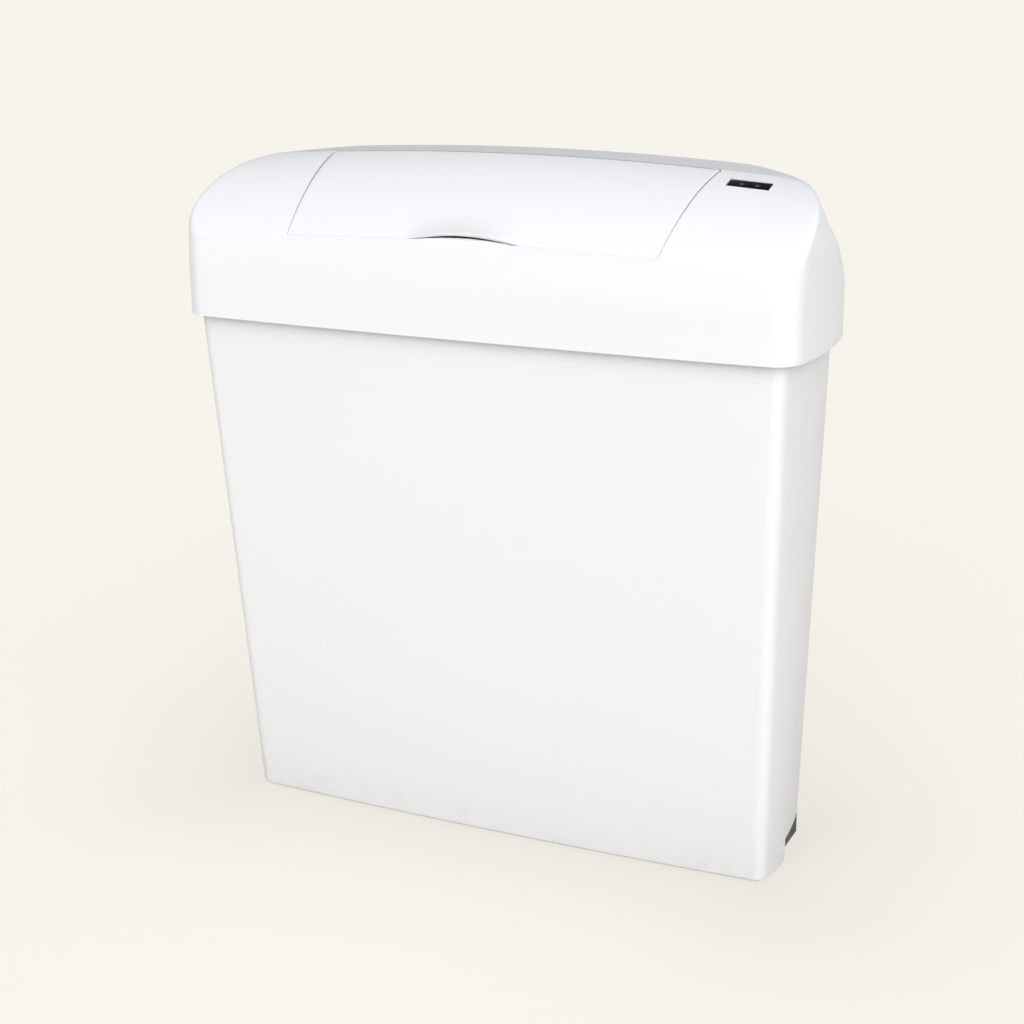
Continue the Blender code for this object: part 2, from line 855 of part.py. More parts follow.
def add_screws(names, places, empty):
    """Flat-head screws whose heads face down at each (x, y, z)."""
    profile = screw_profile(0.0, 0.0)[:-2] + [(0, 0)]
    template = add_turned("screw_template", profile, (0, 0, 0), (0, 0, 0), steel, steps=screw_steps)
    add_copies(names, template, [Matrix.Translation(place) for place in places], empty)


def cut_screw_seats(item, places):
    for index, place in enumerate(places):
        seat = add_turned(f"{item.name}_screw_seat_{index}", screw_profile(touch_gap, cut_overrun),
                          place, (0, 0, 0), None, cutters, steps=screw_steps)
        boolean(item, seat)


def lug_places():
    """Each lug's screw axis (x, y) and the (x, y) direction of the wall that carries it."""
    front_lug_x = half_width - front_lug_end
    rear_lug_x = half_width - rear_lug_end
    front_bulge = front_bow * (1 - (front_lug_x / half_width) ** 2)
    front_inner = front_corner_y - front_bulge + shell_wall
    side_inner = half_width - shell_wall
    rear_inner = half_depth - shell_wall
    places = []
    for side in (-1, 1):
        places.append(((side * (side_inner - lug_depth / 2), 0), (side, 0)))
        places.append(((side * front_lug_x, front_inner + lug_depth / 2), (0, -1)))
        places.append(((side * rear_lug_x, rear_inner - lug_depth / 2), (0, 1)))
    return places


def make_hood():
    rings = [hood_ring(height) for height in hood_heights]
    rings += [hood_ring(overall_height, share) for share in cap_shares]
    hood = add_loft("hood_shell", rings, hood_white, cap_top=True)
    thicken(hood, shell_wall)
    rows = flap_patch(seam_gap, -front_seam_share, 0.0, 0.0, tongue_share)
    opening = add_patch("flap_opening_cutter", rows, None, cutters)
    slab = thicken(opening, opening_slab, 0.0)
    slab.use_even_offset = False
    boolean(hood, opening, solver="MANIFOLD")
    boolean(hood, make_tail_relief(), solver="MANIFOLD")
    relief_half = half_width - side_overhang + running_gap
    relief = span_box("rear_relief_cutter", (-relief_half, half_depth - rear_relief_inset, 0),
                      (relief_half, overall_depth, rim_height), None, cutters)
    boolean(hood, relief, solver="MANIFOLD")
    window_hole = tilted_box("window_hole_cutter", window_length + 2 * touch_gap, window_width + 2 * touch_gap,
                             2 * cut_overrun, window_hole_rise, None, cutters)
    boolean(hood, window_hole, solver="MANIFOLD")
    for index, ((x, y), (wall_x, wall_y)) in enumerate(lug_places()):
        reach = lug_depth / 2
        low = [x - (reach if wall_x else lug_length / 2), y - (reach if wall_y else lug_length / 2)]
        high = [x + (reach if wall_x else lug_length / 2), y + (reach if wall_y else lug_length / 2)]
        for axis, wall in enumerate((wall_x, wall_y)):
            if wall > 0:
                high[axis] += lug_bite
            if wall < 0:
                low[axis] -= lug_bite
        bottom = chassis_top + touch_gap
        lug = span_box(f"lug_{index}", (*low, bottom), (*high, bottom + lug_height), None, cutters)
        boolean(hood, lug, "UNION", "MANIFOLD")
        hole = add_rod(f"lug_hole_{index}", screw_radius + touch_gap, 2 * screw_length, (x, y, bottom), "Z",
                       None, cutters, steps=screw_steps)
        boolean(hood, hole, solver="MANIFOLD")
    carry(hood, hood_joint)
    return hood


def crest_radius(x, clearance):
    """Distance from the flap's axis to the crest over x, with a running clearance."""
    return math.hypot(crest_y - flap_axis_y, crown(x, overall_height) - flap_axis_z) + clearance


def make_tail_relief():
    """A crowned drum about the flap's axis that leaves room for the flap's tail to turn."""
    reach = flap_half_rear + seam_gap
    stations = [reach * (1 - 2 * step / relief_steps) for step in range(relief_steps + 1)]
    profile = [(0, reach)] + [(crest_radius(x, running_gap), x) for x in stations] + [(0, -reach)]
    return add_turned("tail_relief_cutter", profile, (0, flap_axis_y, flap_axis_z), (0, math.pi / 2, 0), None,
                      cutters, steps=relief_round_steps)


def tilted_box(name, length, width, depth, rise, material, group=container, along=0.0):
    """A box that lies on the slope at the sensor window, its top standing by rise over the surface."""
    share = (window_y - front_corner_y - crease_lean) / (crest_y - front_corner_y - crease_lean)
    y, level = slope_point(share)
    step_y, step_level = slope_point(share + window_step_share)
    step_x = (half_width - shoulder_inset) * window_step_share
    height = crown(window_x, level)
    tilt = math.atan2(crown(window_x, step_level) - height, step_y - y)
    roll = math.atan2(height - crown(window_x + step_x, level), step_x)
    item = add_box(name, (length, width, depth), (0, 0, 0), material, group)
    item.rotation_euler = (tilt, roll, 0)
    item.location = Vector((window_x, y, height))
    item.location += item.rotation_euler.to_matrix() @ Vector((along, 0, rise - depth / 2))
    return item


def make_sensor():
    window = tilted_box("sensor_window", window_length, window_width, window_depth, -window_sink, window_black)
    carry(window, hood_joint)
    led_top = -window_sink - window_depth - touch_gap
    board = tilted_box("sensor_board", sensor_board_length, sensor_board_width, board_thickness,
                       led_top - led_height - touch_gap, board_green)
    carry(board, hood_joint)
    for name, side in (("ir_emitter", -1), ("ir_receiver", 1)):
        guide = tilted_box(f"{name}_guide", led_radius, led_radius, led_height, led_top, None, cutters,
                           side * led_spacing / 2)
        lens = add_rod(name, led_radius, led_height, guide.location, "Z", lens_smoke)
        lens.rotation_euler = guide.rotation_euler
        carry(lens, hood_joint)


def plan_loop(ring):
    return [(x, y) for x, y, height in ring]


def make_chassis():
    width = half_width - shell_wall - chassis_edge_gap
    corner = hood_front_corner - shell_wall - chassis_edge_gap
    rear_corner = hood_rear_corner - shell_wall - chassis_edge_gap
    outline = plan_ring(width, chassis_front_y, chassis_rear_y, 0.0, corner,
                        (rear_corner, rear_corner), front_bow)
    loops = [plan_loop(outline),
             box_loop((mouth_end - half_width, mouth_front_inset - half_depth),
                      (half_width - mouth_end, half_depth - mouth_rear_inset)),
             box_loop((battery_low_x, -inner_cells / 2), (battery_high_x, inner_cells / 2)),
             box_loop((switch_x - knob_length / 2 - running_gap, switch_y - knob_width / 2 - running_gap),
                      (switch_x + knob_length / 2 + switch_travel + running_gap,
                       switch_y + knob_width / 2 + running_gap))]
    chassis = add_layer("chassis_plate", loops, chassis_thickness, chassis_low, inner_grey)
    for side in (-1, 1):
        y = side * door_lug_y
        lug = span_box(f"door_lug_{side}", (door_axis_x - door_knuckle_radius, y - door_lug_length / 2,
                                            door_axis_z - door_knuckle_radius),
                       (door_axis_x + door_knuckle_radius, y + door_lug_length / 2,
                        chassis_low + chassis_thickness / 2), None, cutters)
        boolean(chassis, lug, "UNION")
    bore = add_rod("door_lug_bore", door_pin_radius + touch_gap, 3 * door_lug_y,
                   (door_axis_x, battery_y, door_axis_z), "Y", None, cutters, steps=screw_steps)
    boolean(chassis, bore)
    for corner_x in (control_board_low[0] + board_post_inset, control_board_high[0] - board_post_inset):
        for corner_y in (control_board_low[1] + board_post_inset, control_board_high[1] - board_post_inset):
            post = add_rod(f"post_{len(bpy.data.objects)}", post_radius,
                           post_height + chassis_thickness / 2,
                           (corner_x, corner_y, chassis_top + post_height / 2 - chassis_thickness / 4),
                           "Z", None, cutters, steps=screw_steps)
            boolean(chassis, post, "UNION")
    places = [(x, y, chassis_low) for (x, y), wall in lug_places()]
    cut_screw_seats(chassis, places)
    carry(chassis, hood_joint)
    add_screws([f"chassis_screw_{index + 1}" for index in range(len(places))], places, hood_joint)
    board_bottom = chassis_top + post_height + touch_gap
    board = span_box("control_board", (*control_board_low, board_bottom),
                     (*control_board_high, board_bottom + board_thickness), board_green)
    carry(board, hood_joint)


make_hinges()
make_hood()
make_sensor()
make_chassis()


# Gear train

def polar(centre, radius, angle):
    return (centre[0] + radius * math.cos(angle), centre[1] + radius * math.sin(angle))


def pitch_radius(teeth):
    return gear_module * teeth / 2


flap_axis = (flap_axis_y, flap_axis_z)
pinion_axis = polar(flap_axis, pitch_radius(flap_gear_teeth) + pitch_radius(pinion_teeth), pinion_bearing)
tray_axis = polar(pinion_axis, pitch_radius(pinion_teeth) + pitch_radius(tray_gear_teeth), tray_bearing)


def involute(angle):
    return math.tan(angle) - angle


def tooth_points(teeth, centre, middle):
    """One stub involute tooth about a middle angle, from its right root to its left root."""
    pitch = pitch_radius(teeth)
    base = pitch * math.cos(pressure_angle)
    root = pitch - dedendum_share * gear_module
    tip = pitch + addendum_share * gear_module
    half_tooth = math.pi / (2 * teeth) * (1 - backlash_share)
    right = [polar(centre, root, middle - half_tooth - involute(pressure_angle))]
    left = []
    for step in range(tooth_steps + 1):
        radius = max(base, root) + (tip - max(base, root)) * step / tooth_steps
        flank = half_tooth + involute(pressure_angle) - involute(math.acos(min(base / radius, 1)))
        right.append(polar(centre, radius, middle - flank))
        left.append(polar(centre, radius, middle + flank))
    left.insert(0, polar(centre, root, middle + half_tooth + involute(pressure_angle)))
    return right + list(reversed(left))


def gear_loops(teeth, centre, first, count, bore):
    """A gear's outline: all its teeth, or a sector's teeth and the straight sides down to its hub."""
    pitch = 2 * math.pi / teeth
    outline = []
    for index in range(count):
        outline += tooth_points(teeth, centre, first + index * pitch)
    if count < teeth:
        last = first + (count - 1) * pitch
        arc = 2 * math.pi - (last - first) - 2 * sector_hub_angle
        for step in range(hub_steps + 1):
            outline.append(polar(centre, gear_hub_radius, last + sector_hub_angle + arc * step / hub_steps))
    return [outline, circle_loop(centre, bore)]


def make_gears():
    bore = shaft_radius + touch_gap
    flap_pitch = 2 * math.pi / flap_gear_teeth
    flap_count = math.ceil(flap_travel / flap_pitch) + 1 + sector_margin_teeth
    flap_first = pinion_bearing - sector_margin_teeth * flap_pitch
    sector = add_plate("flap_sector_gear", gear_loops(flap_gear_teeth, flap_axis, flap_first, flap_count, bore),
                       gear_width, gear_plane_x, gear_white)
    carry(sector, flap_joint)
    pinion_pitch = 2 * math.pi / pinion_teeth
    pinion_first = pinion_bearing + math.pi + pinion_pitch / 2
    pinion = add_plate("drive_pinion", gear_loops(pinion_teeth, pinion_axis, pinion_first, pinion_teeth, bore),
                       gear_width, gear_plane_x, gear_white)
    carry(pinion, drive_joint)
    tray_pitch = 2 * math.pi / tray_gear_teeth
    offset = (pinion_first - tray_bearing) % pinion_pitch
    tray_travel = flap_travel * flap_gear_teeth / tray_gear_teeth
    tray_count = math.ceil(tray_travel / tray_pitch) + 1 + sector_margin_teeth
    tray_first = (tray_bearing + math.pi - offset * pinion_teeth / tray_gear_teeth + tray_pitch / 2
                  - sector_margin_teeth * tray_pitch)
    follower = add_plate("tray_sector_gear",
                         gear_loops(tray_gear_teeth, tray_axis, tray_first, tray_count, bore),
                         gear_width, gear_plane_x, gear_white)
    carry(follower, tray_joint)


flap_joint = make_child_joint("flap_joint", (0, *flap_axis), hood_joint)
drive_joint = make_child_joint("drive_joint", (0, *pinion_axis), hood_joint)
tray_joint = make_child_joint("tray_joint", (0, *tray_axis), hood_joint)
make_gears()


# Flap

def skin_under(share, x, depth):
    """A point a depth under the flap's outer face, on its way up the slope at x."""
    y, level = slope_point(share)
    ahead_y, ahead_level = slope_point(share + window_step_share)
    tilt = math.atan2(crown(x, ahead_level) - crown(x, level), ahead_y - y)
    bulge = 1 - (x / half_width) ** 2
    y -= front_bow * (1 - share) * bulge
    height = crown(x, level) + crease_arch * (1 - share) ** 2 * bulge
    return (y + depth * math.sin(tilt), height - depth * math.cos(tilt))


def make_flap():
    flap = add_patch("flap", flap_patch(0.0, 0.0, -rear_seam_share, scoop_lift), hood_white)
    thicken(flap, shell_wall)
    web_x = flap_half_front - flap_web_inset
    web_share = web_high_share - web_low_share
    shares = [web_low_share + web_share * step / web_steps for step in range(web_steps + 1)]
    upper = [skin_under(share, web_x, shell_wall * web_bite_share) for share in shares]
    lower = [skin_under(share, web_x, flap_web_depth) for share in shares[:web_steps // 2]]
    boss_low = polar(flap_axis, pivot_boss_radius, -math.pi / 2)
    boss_rear = polar(flap_axis, pivot_boss_radius, 0)
    boss_side = polar(flap_axis, pivot_boss_radius, -math.pi / 4)
    outline = lower + [polar(flap_axis, pivot_boss_radius, -math.pi * 3 / 4), boss_low, boss_side, boss_rear]
    outline += list(reversed(upper))
    for side in (-1, 1):
        web = add_plate(f"flap_web_{side}", [outline], flap_web_thickness, side * web_x, None, cutters)
        boolean(flap, web, "UNION", "MANIFOLD")
        boss_length = bracket_inner_x - running_gap - web_x
        boss = add_rod(f"flap_boss_{side}", pivot_boss_radius, boss_length,
                       (side * (web_x + boss_length / 2), *flap_axis), "X", None, cutters)
        boolean(flap, boss, "UNION", "MANIFOLD")
    bore = add_rod("flap_bore", shaft_radius + touch_gap, overall_width, (0, *flap_axis), "X", None, cutters)
    boolean(flap, bore, solver="MANIFOLD")
    carry(flap, flap_joint)


make_flap()


def add_shaft(name, side, axis, inner_x, outer_x, joint):
    shaft = add_rod(name, shaft_radius, outer_x - inner_x, (side * (inner_x + outer_x) / 2, *axis), "X", steel)
    carry(shaft, joint)


bracket_outer_x = bracket_inner_x + bracket_thickness
gear_outer_x = gear_plane_x + gear_width / 2
web_inner_x = flap_half_front - flap_web_inset - flap_web_thickness / 2
add_shaft("flap_pin_left", -1, flap_axis, web_inner_x, bracket_outer_x + shaft_end, flap_joint)
add_shaft("flap_shaft_right", 1, flap_axis, web_inner_x, gear_outer_x + shaft_end, flap_joint)


# Modesty tray

def make_tray():
    y, z = tray_axis
    half = tray_thickness / 2
    tray = span_box("modesty_tray", (-tray_half_width, y - half, z - tray_length),
                    (tray_half_width, y + half, z), inner_grey)
    toe = span_box("tray_toe", (-tray_half_width, y - tray_lip, z - tray_length),
                   (tray_half_width, y, z - tray_length + tray_thickness), None, cutters)
    boolean(tray, toe, "UNION")
    for side in (-1, 1):
        ends = sorted((side * tray_half_width, side * (tray_half_width - tray_thickness)))
        wing = span_box(f"tray_wing_{side}", (ends[0], y - tray_lip, z - tray_length),
                        (ends[1], y, z - tray_hub_radius / 2), None, cutters)
        boolean(tray, wing, "UNION")
    hub_length = 2 * (bracket_inner_x - running_gap)
    hub = add_rod("tray_hub", tray_hub_radius, hub_length, (0, y, z), "X", None, cutters)
    boolean(tray, hub, "UNION")
    bore = add_rod("tray_bore", shaft_radius + touch_gap, 2 * hub_length, (0, y, z), "X", None, cutters)
    boolean(tray, bore)
    carry(tray, tray_joint)


make_tray()
tray_pin_inner = tray_half_width - tray_pin_length
add_shaft("tray_pin_left", -1, tray_axis, tray_pin_inner, bracket_outer_x + shaft_end, tray_joint)
add_shaft("tray_shaft_right", 1, tray_axis, tray_pin_inner, gear_outer_x + shaft_end, tray_joint)


# Brackets and gearmotor

def make_brackets():
    base = chassis_top + touch_gap
    arc = [polar(flap_axis, neck_half, math.pi * (1 - step / neck_steps)) for step in range(neck_steps + 1)]
    tray_arc = [polar(tray_axis, tray_seat, seat_angle * (1 - step / seat_steps))
                for step in range(seat_steps + 1)]
    toe_y = flap_axis_y - bracket_toe_reach
    outline = [(toe_y, base), (toe_y, base + bracket_toe),
               (flap_axis_y - neck_half, flap_axis_z - neck_drop)]
    outline += arc + [(flap_axis_y + neck_half, flap_axis_z - neck_drop)] + tray_arc
    outline += [(tray_axis[0] + tray_seat, base)]
    bore = shaft_radius + touch_gap
    loops = [outline, circle_loop(flap_axis, bore), circle_loop(tray_axis, bore)]
    for name, side in (("pivot_bracket_left", -1), ("pivot_bracket_right", 1)):
        bracket = add_plate(name, loops, bracket_thickness, side * (bracket_inner_x + bracket_thickness / 2),
                            inner_grey)
        ends = sorted((side * (bracket_inner_x + bracket_thickness / 2),
                       side * (bracket_outer_x + bracket_foot_width)))
        foot = span_box(f"bracket_foot_{side}", (ends[0], tray_axis[0] + tray_seat - bracket_foot_depth, base),
                        (ends[1], tray_axis[0] + tray_seat, base + bracket_foot_height), None, cutters)
        boolean(bracket, foot, "UNION")
        carry(bracket, hood_joint)


def make_gearmotor():
    base = chassis_top + touch_gap
    y, z = pinion_axis
    margin = gearbox_radius + running_gap
    outline = box_loop((y - margin, base), (y + margin, z + margin))
    plate = add_plate("motor_plate", [outline, circle_loop(pinion_axis, shaft_radius + touch_gap)],
                      motor_plate_thickness, motor_plate_x + motor_plate_thickness / 2, steel)
    foot = span_box("motor_foot", (motor_plate_x, y - margin, base),
                    (motor_plate_x + bracket_foot_width, y + margin, base + motor_plate_thickness),
                    None, cutters)
    boolean(plate, foot, "UNION")
    carry(plate, hood_joint)
    start = motor_plate_x + motor_plate_thickness + touch_gap
    gearbox = add_rod("gearbox_housing", gearbox_radius, gearbox_length,
                      (start + gearbox_length / 2, y, z), "X", inner_grey)
    socket = add_rod("output_socket", shaft_radius + touch_gap, gearbox_length,
                     (start + shaft_socket - gearbox_length / 2, y, z), "X", None, cutters)
    boolean(gearbox, socket)
    carry(gearbox, hood_joint)
    start += gearbox_length + touch_gap
    can = add_turned("motor_can", [(0, motor_length), (motor_cap_radius, motor_length),
                                   (motor_cap_radius, motor_length - motor_cap_length),
                                   (motor_radius, motor_length - motor_cap_length), (motor_radius, 0), (0, 0)],
                     (start, y, z), (0, math.pi / 2, 0), steel)
    carry(can, hood_joint)
    inner = gear_plane_x - gear_width / 2 - shaft_end
    outer = motor_plate_x + motor_plate_thickness + shaft_socket
    add_shaft("output_shaft", 1, pinion_axis, inner, outer, drive_joint)


make_brackets()
make_gearmotor()


# Battery compartment

def make_battery_box():
    base = chassis_top + touch_gap
    top = cell_bottom + inner_cells + touch_gap
    box = span_box("battery_box", (battery_low_x - box_wall, -inner_cells / 2 - box_wall, base),
                   (battery_high_x + box_wall, inner_cells / 2 + box_wall, top + box_wall), inner_grey)
    hollow = span_box("battery_hollow", (battery_low_x, -inner_cells / 2, base - cut_overrun),
                      (battery_high_x, inner_cells / 2, top), None, cutters)
    boolean(box, hollow)
    cable_hole = add_rod("cable_hole", cable_radius + touch_gap, 4 * box_wall,
                         (cable_route[0][0], inner_cells / 2 + box_wall, cable_route[0][2]), "Y", None, cutters)
    boolean(box, cable_hole)
    carry(box, hood_joint)
    profile = [(0, cell_length + cell_cap_length), (cell_cap_radius, cell_length + cell_cap_length),
               (cell_cap_radius, cell_length), (cell_radius, cell_length), (cell_radius, 0), (0, 0)]
    template = add_turned("cell_template", profile, (0, 0, 0), (0, 0, 0), cell_black)
    spacing = 2 * cell_radius + cell_gap
    low_x = battery_low_x + contact_thickness + 2 * touch_gap
    places = []
    for row in range(2):
        for column in range(2):
            y = (2 * column - 1) * spacing / 2
            z = cell_bottom + cell_radius + row * spacing
            places.append(Matrix.Translation((low_x, y, z)) @ Matrix.Rotation(math.pi / 2, 4, "Y"))
    add_copies([f"battery_cell_{index + 1}" for index in range(len(places))], template, places, hood_joint)
    low = cell_bottom + cell_radius / 2
    contact = span_box("contact_template", (0, -spacing, low), (contact_thickness, spacing,
                       cell_bottom + inner_cells - cell_radius / 2), steel)
    centre = Vector(contact.location)
    contact.location = (0, 0, 0)
    shifts = (battery_low_x + touch_gap, battery_high_x - touch_gap - contact_thickness)
    add_copies(("battery_contact_outer", "battery_contact_inner"), contact,
               [Matrix.Translation(centre + Vector((shift, 0, 0))) for shift in shifts], hood_joint)


def make_battery_door():
    top = chassis_low - touch_gap
    low_x = battery_low_x - door_overlap
    half = inner_cells / 2 + door_overlap
    lug_reach = math.hypot(door_knuckle_radius, door_knuckle_radius) + running_gap
    door = span_box("battery_door", (low_x, -half, top - door_thickness), (door_axis_x, half, top), inner_grey)
    for side in (-1, 1):
        room = span_box(f"door_lug_room_{side}", (door_axis_x - lug_reach,
                                                  side * door_lug_y - door_lug_length / 2 - running_gap,
                                                  door_axis_z - cut_overrun),
                        (door_axis_x + cut_overrun, side * door_lug_y + door_lug_length / 2 + running_gap,
                         top + cut_overrun), None, cutters)
        boolean(door, room)
        knuckle = add_rod(f"door_knuckle_{side}", door_knuckle_radius, door_knuckle_length,
                          (door_axis_x, side * door_knuckle_y, door_axis_z), "Y", None, cutters)
        boolean(door, knuckle, "UNION")
    bore = add_rod("door_bore", door_pin_radius + touch_gap, 3 * door_lug_y,
                   (door_axis_x, battery_y, door_axis_z), "Y", None, cutters, steps=screw_steps)
    boolean(door, bore)
    carry(door, door_joint)
    pin = add_rod("battery_door_pin", door_pin_radius, 2 * door_lug_y + door_lug_length,
                  (door_axis_x, battery_y, door_axis_z), "Y", steel, steps=screw_steps)
    carry(pin, hood_joint)


door_joint = make_child_joint("door_joint", (door_axis_x, battery_y, door_axis_z), hood_joint)


# Switch, cartridge and cable

def make_switch():
    base = chassis_top + touch_gap
    housing = span_box("switch_housing",
                       (switch_x - knob_length, switch_y - knob_length, base),
                       (switch_x + knob_length + switch_travel, switch_y + knob_length, base + switch_height),
                       window_black)
    room = span_box("switch_room",
                    (switch_x - knob_length / 2 - running_gap, switch_y - knob_width / 2 - running_gap,
                     base - cut_overrun),
                    (switch_x + knob_length / 2 + switch_travel + running_gap,
                     switch_y + knob_width / 2 + running_gap, base + switch_height / 2), None, cutters)
    boolean(housing, room)
    carry(housing, hood_joint)
    knob = span_box("switch_knob",
                    (switch_x - knob_length / 2, switch_y - knob_width / 2, chassis_low - knob_drop),
                    (switch_x + knob_length / 2, switch_y + knob_width / 2,
                     base + switch_height / 2 - running_gap), dark_rubber)
    carry(knob, switch_joint)


switch_joint = make_child_joint("switch_joint", (switch_x, switch_y, chassis_low), hood_joint)

def make_cartridge():
    top = chassis_low - touch_gap
    cartridge = span_box("odour_cartridge", (*cartridge_low, top - cartridge_depth), (*cartridge_high, top),
                         inner_grey, bevel=slot_width / 3)
    centre_x = (cartridge_low[0] + cartridge_high[0]) / 2
    slot_half = (cartridge_high[0] - cartridge_low[0]) / 2 * slot_length_share
    for index in range(slot_count):
        y = cartridge_low[1] + (cartridge_high[1] - cartridge_low[1]) * (index + 1) / (slot_count + 1)
        slot = span_box(f"cartridge_slot_{index}",
                        (centre_x - slot_half, y - slot_width / 2, top - cartridge_depth - cut_overrun),
                        (centre_x + slot_half, y + slot_width / 2,
                         top - cartridge_depth * (1 - slot_depth_share)), None, cutters)
        boolean(cartridge, slot)
    carry(cartridge, hood_joint)


def make_cable_route():
    """Points from the battery box's wall, round the rear of the chassis, to the control board."""
    start_x = battery_x + cable_exit_shift
    start_y = inner_cells / 2 + cable_radius
    start_z = chassis_top + cable_exit_rise
    lane_y = chassis_rear_y - cable_lane_inset
    lane_z = chassis_top + cable_radius + cable_lane_lift
    end_x = control_board_high[0] - cable_board_shift
    end_y = control_board_high[1] + 2 * touch_gap
    end_z = chassis_top + cable_board_lift
    points = []
    for across, back, down in cable_left_shares:
        points.append((start_x + cable_left_bend * across, start_y + (lane_y - start_y) * back,
                       start_z + (lane_z - start_z) * down))
    points += [(half_width * share, lane_y, lane_z) for share in cable_lane_shares]
    for across, back, up in cable_right_shares:
        points.append((end_x - cable_right_bend * across, end_y + (lane_y - end_y) * back,
                       lane_z + (end_z - lane_z) * up))
    return points


cable_route = make_cable_route()


def smooth_route(points):
    """A smooth curve through the route's own points."""
    vectors = [Vector(point) for point in points]
    padded = [vectors[0]] + vectors + [vectors[-1]]
    result = []
    for index in range(len(vectors) - 1):
        before, start, end, after = padded[index:index + 4]
        for step in range(cable_samples):
            t = step / cable_samples
            result.append(0.5 * (2 * start + (end - before) * t
                                 + (2 * before - 5 * start + 4 * end - after) * t ** 2
                                 + (3 * start - before - 3 * end + after) * t ** 3))
    result.append(vectors[-1])
    return result


def make_cable():
    curve = bpy.data.curves.new("battery_cable", "CURVE")
    curve.dimensions = "3D"
    curve.bevel_depth = cable_radius
    curve.bevel_resolution = 2
    curve.use_fill_caps = True
    route = smooth_route(cable_route)
    spline = curve.splines.new("POLY")
    spline.points.add(len(route) - 1)
    for point, place in zip(spline.points, route):
        point.co = (*place, 1)
    cable = add_object("battery_cable", curve, cable_black)
    carry(cable, hood_joint)


make_battery_box()
make_battery_door()
make_switch()
make_cartridge()
make_cable()
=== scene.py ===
import json
import math

import bmesh
import bpy
from mathutils import Matrix, Vector

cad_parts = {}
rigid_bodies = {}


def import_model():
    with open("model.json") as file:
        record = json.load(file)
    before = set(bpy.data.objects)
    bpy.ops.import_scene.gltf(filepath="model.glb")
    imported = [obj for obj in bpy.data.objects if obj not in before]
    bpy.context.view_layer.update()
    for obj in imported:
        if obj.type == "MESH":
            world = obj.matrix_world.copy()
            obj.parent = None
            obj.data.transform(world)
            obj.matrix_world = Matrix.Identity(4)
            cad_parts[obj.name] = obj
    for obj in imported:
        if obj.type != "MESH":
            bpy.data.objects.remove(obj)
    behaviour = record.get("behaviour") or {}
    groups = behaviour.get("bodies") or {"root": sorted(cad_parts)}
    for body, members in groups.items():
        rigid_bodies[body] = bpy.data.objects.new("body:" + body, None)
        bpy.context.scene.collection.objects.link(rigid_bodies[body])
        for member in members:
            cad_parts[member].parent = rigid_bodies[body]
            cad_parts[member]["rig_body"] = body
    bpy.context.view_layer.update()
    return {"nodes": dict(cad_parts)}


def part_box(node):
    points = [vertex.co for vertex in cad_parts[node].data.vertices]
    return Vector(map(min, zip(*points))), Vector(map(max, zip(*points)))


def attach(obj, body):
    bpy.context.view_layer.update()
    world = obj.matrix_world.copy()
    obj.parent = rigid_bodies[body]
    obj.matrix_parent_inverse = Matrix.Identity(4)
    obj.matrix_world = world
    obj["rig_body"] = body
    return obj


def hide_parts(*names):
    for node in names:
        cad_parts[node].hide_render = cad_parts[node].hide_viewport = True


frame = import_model()
nodes = frame["nodes"]
scene = bpy.context.scene
scene.view_settings.view_transform = "Standard"
print("frame loaded with", len(nodes), "pieces")


# Node trees, for finishes and for geometry

class Wire:  # one socket; a sum written with it adds Math nodes
    def __init__(self, tree, socket):
        self.tree = tree
        self.socket = socket

    def out(self, name):
        return Wire(self.tree, self.socket.node.outputs[name])

    def maths(self, operation, *values):
        return self.tree.add("ShaderNodeMath", {"operation": operation}, dict(enumerate(values)))

    def __add__(self, other):
        return self.maths("ADD", self, other)

    def __sub__(self, other):
        return self.maths("SUBTRACT", self, other)

    def __rsub__(self, other):
        return self.maths("SUBTRACT", other, self)

    def __mul__(self, other):
        return self.maths("MULTIPLY", self, other)

    def __truediv__(self, other):
        return self.maths("DIVIDE", self, other)

    def __pow__(self, other):
        return self.maths("POWER", self, other)

    def __gt__(self, other):
        return self.maths("GREATER_THAN", self, other)

    def __lt__(self, other):
        return self.maths("LESS_THAN", self, other)

    def __abs__(self):
        return self.maths("ABSOLUTE", self)

    def least(self, other):
        return self.maths("MINIMUM", self, other)

    def most(self, other):
        return self.maths("MAXIMUM", self, other)

    def clamped(self):
        return self.maths("MINIMUM", self.maths("MAXIMUM", self, 0.0), 1.0)


class NodeTree:  # adds nodes, with their settings and what goes into them
    def __init__(self, tree):
        self.tree = tree

    def add(self, kind, settings=None, inputs=None, output=0):
        node = self.tree.nodes.new(kind)
        for name, value in (settings or {}).items():
            if name == "stops":
                stops = node.color_ramp.elements
                while len(stops) < len(value):
                    stops.new(0.5)
                for stop, (place, tone) in zip(stops, value):
                    stop.position = place
                    stop.color = (*tone, 1.0)
            else:
                setattr(node, name, value)
        for name, value in (inputs or {}).items():
            self.feed(node.inputs[name], value)
        return Wire(self, node.outputs[output])

    def feed(self, socket, value):
        if isinstance(value, Wire):
            self.tree.links.new(value.socket, socket)
        else:
            socket.default_value = value

    def mix(self, share, first, second, blend="MIX"):
        first = first if isinstance(first, Wire) else (*first, 1.0)
        second = second if isinstance(second, Wire) else (*second, 1.0)
        return self.add("ShaderNodeMix", {"data_type": "RGBA", "blend_type": blend},
                        {0: share, 6: first, 7: second}, 2)

    def noise(self, place, scale, detail=2.0, roughness=0.5):
        return self.add("ShaderNodeTexNoise", None,
                        {"Vector": place, "Scale": scale, "Detail": detail, "Roughness": roughness})

    def stretch(self, place, scale):
        return self.add("ShaderNodeVectorMath", {"operation": "MULTIPLY"}, {0: place, 1: scale})

    def between(self, value, low, high, start=0.0, end=1.0):
        return self.add("ShaderNodeMapRange", {"clamp": True},
                        {"Value": value, "From Min": low, "From Max": high, "To Min": start, "To Max": end})


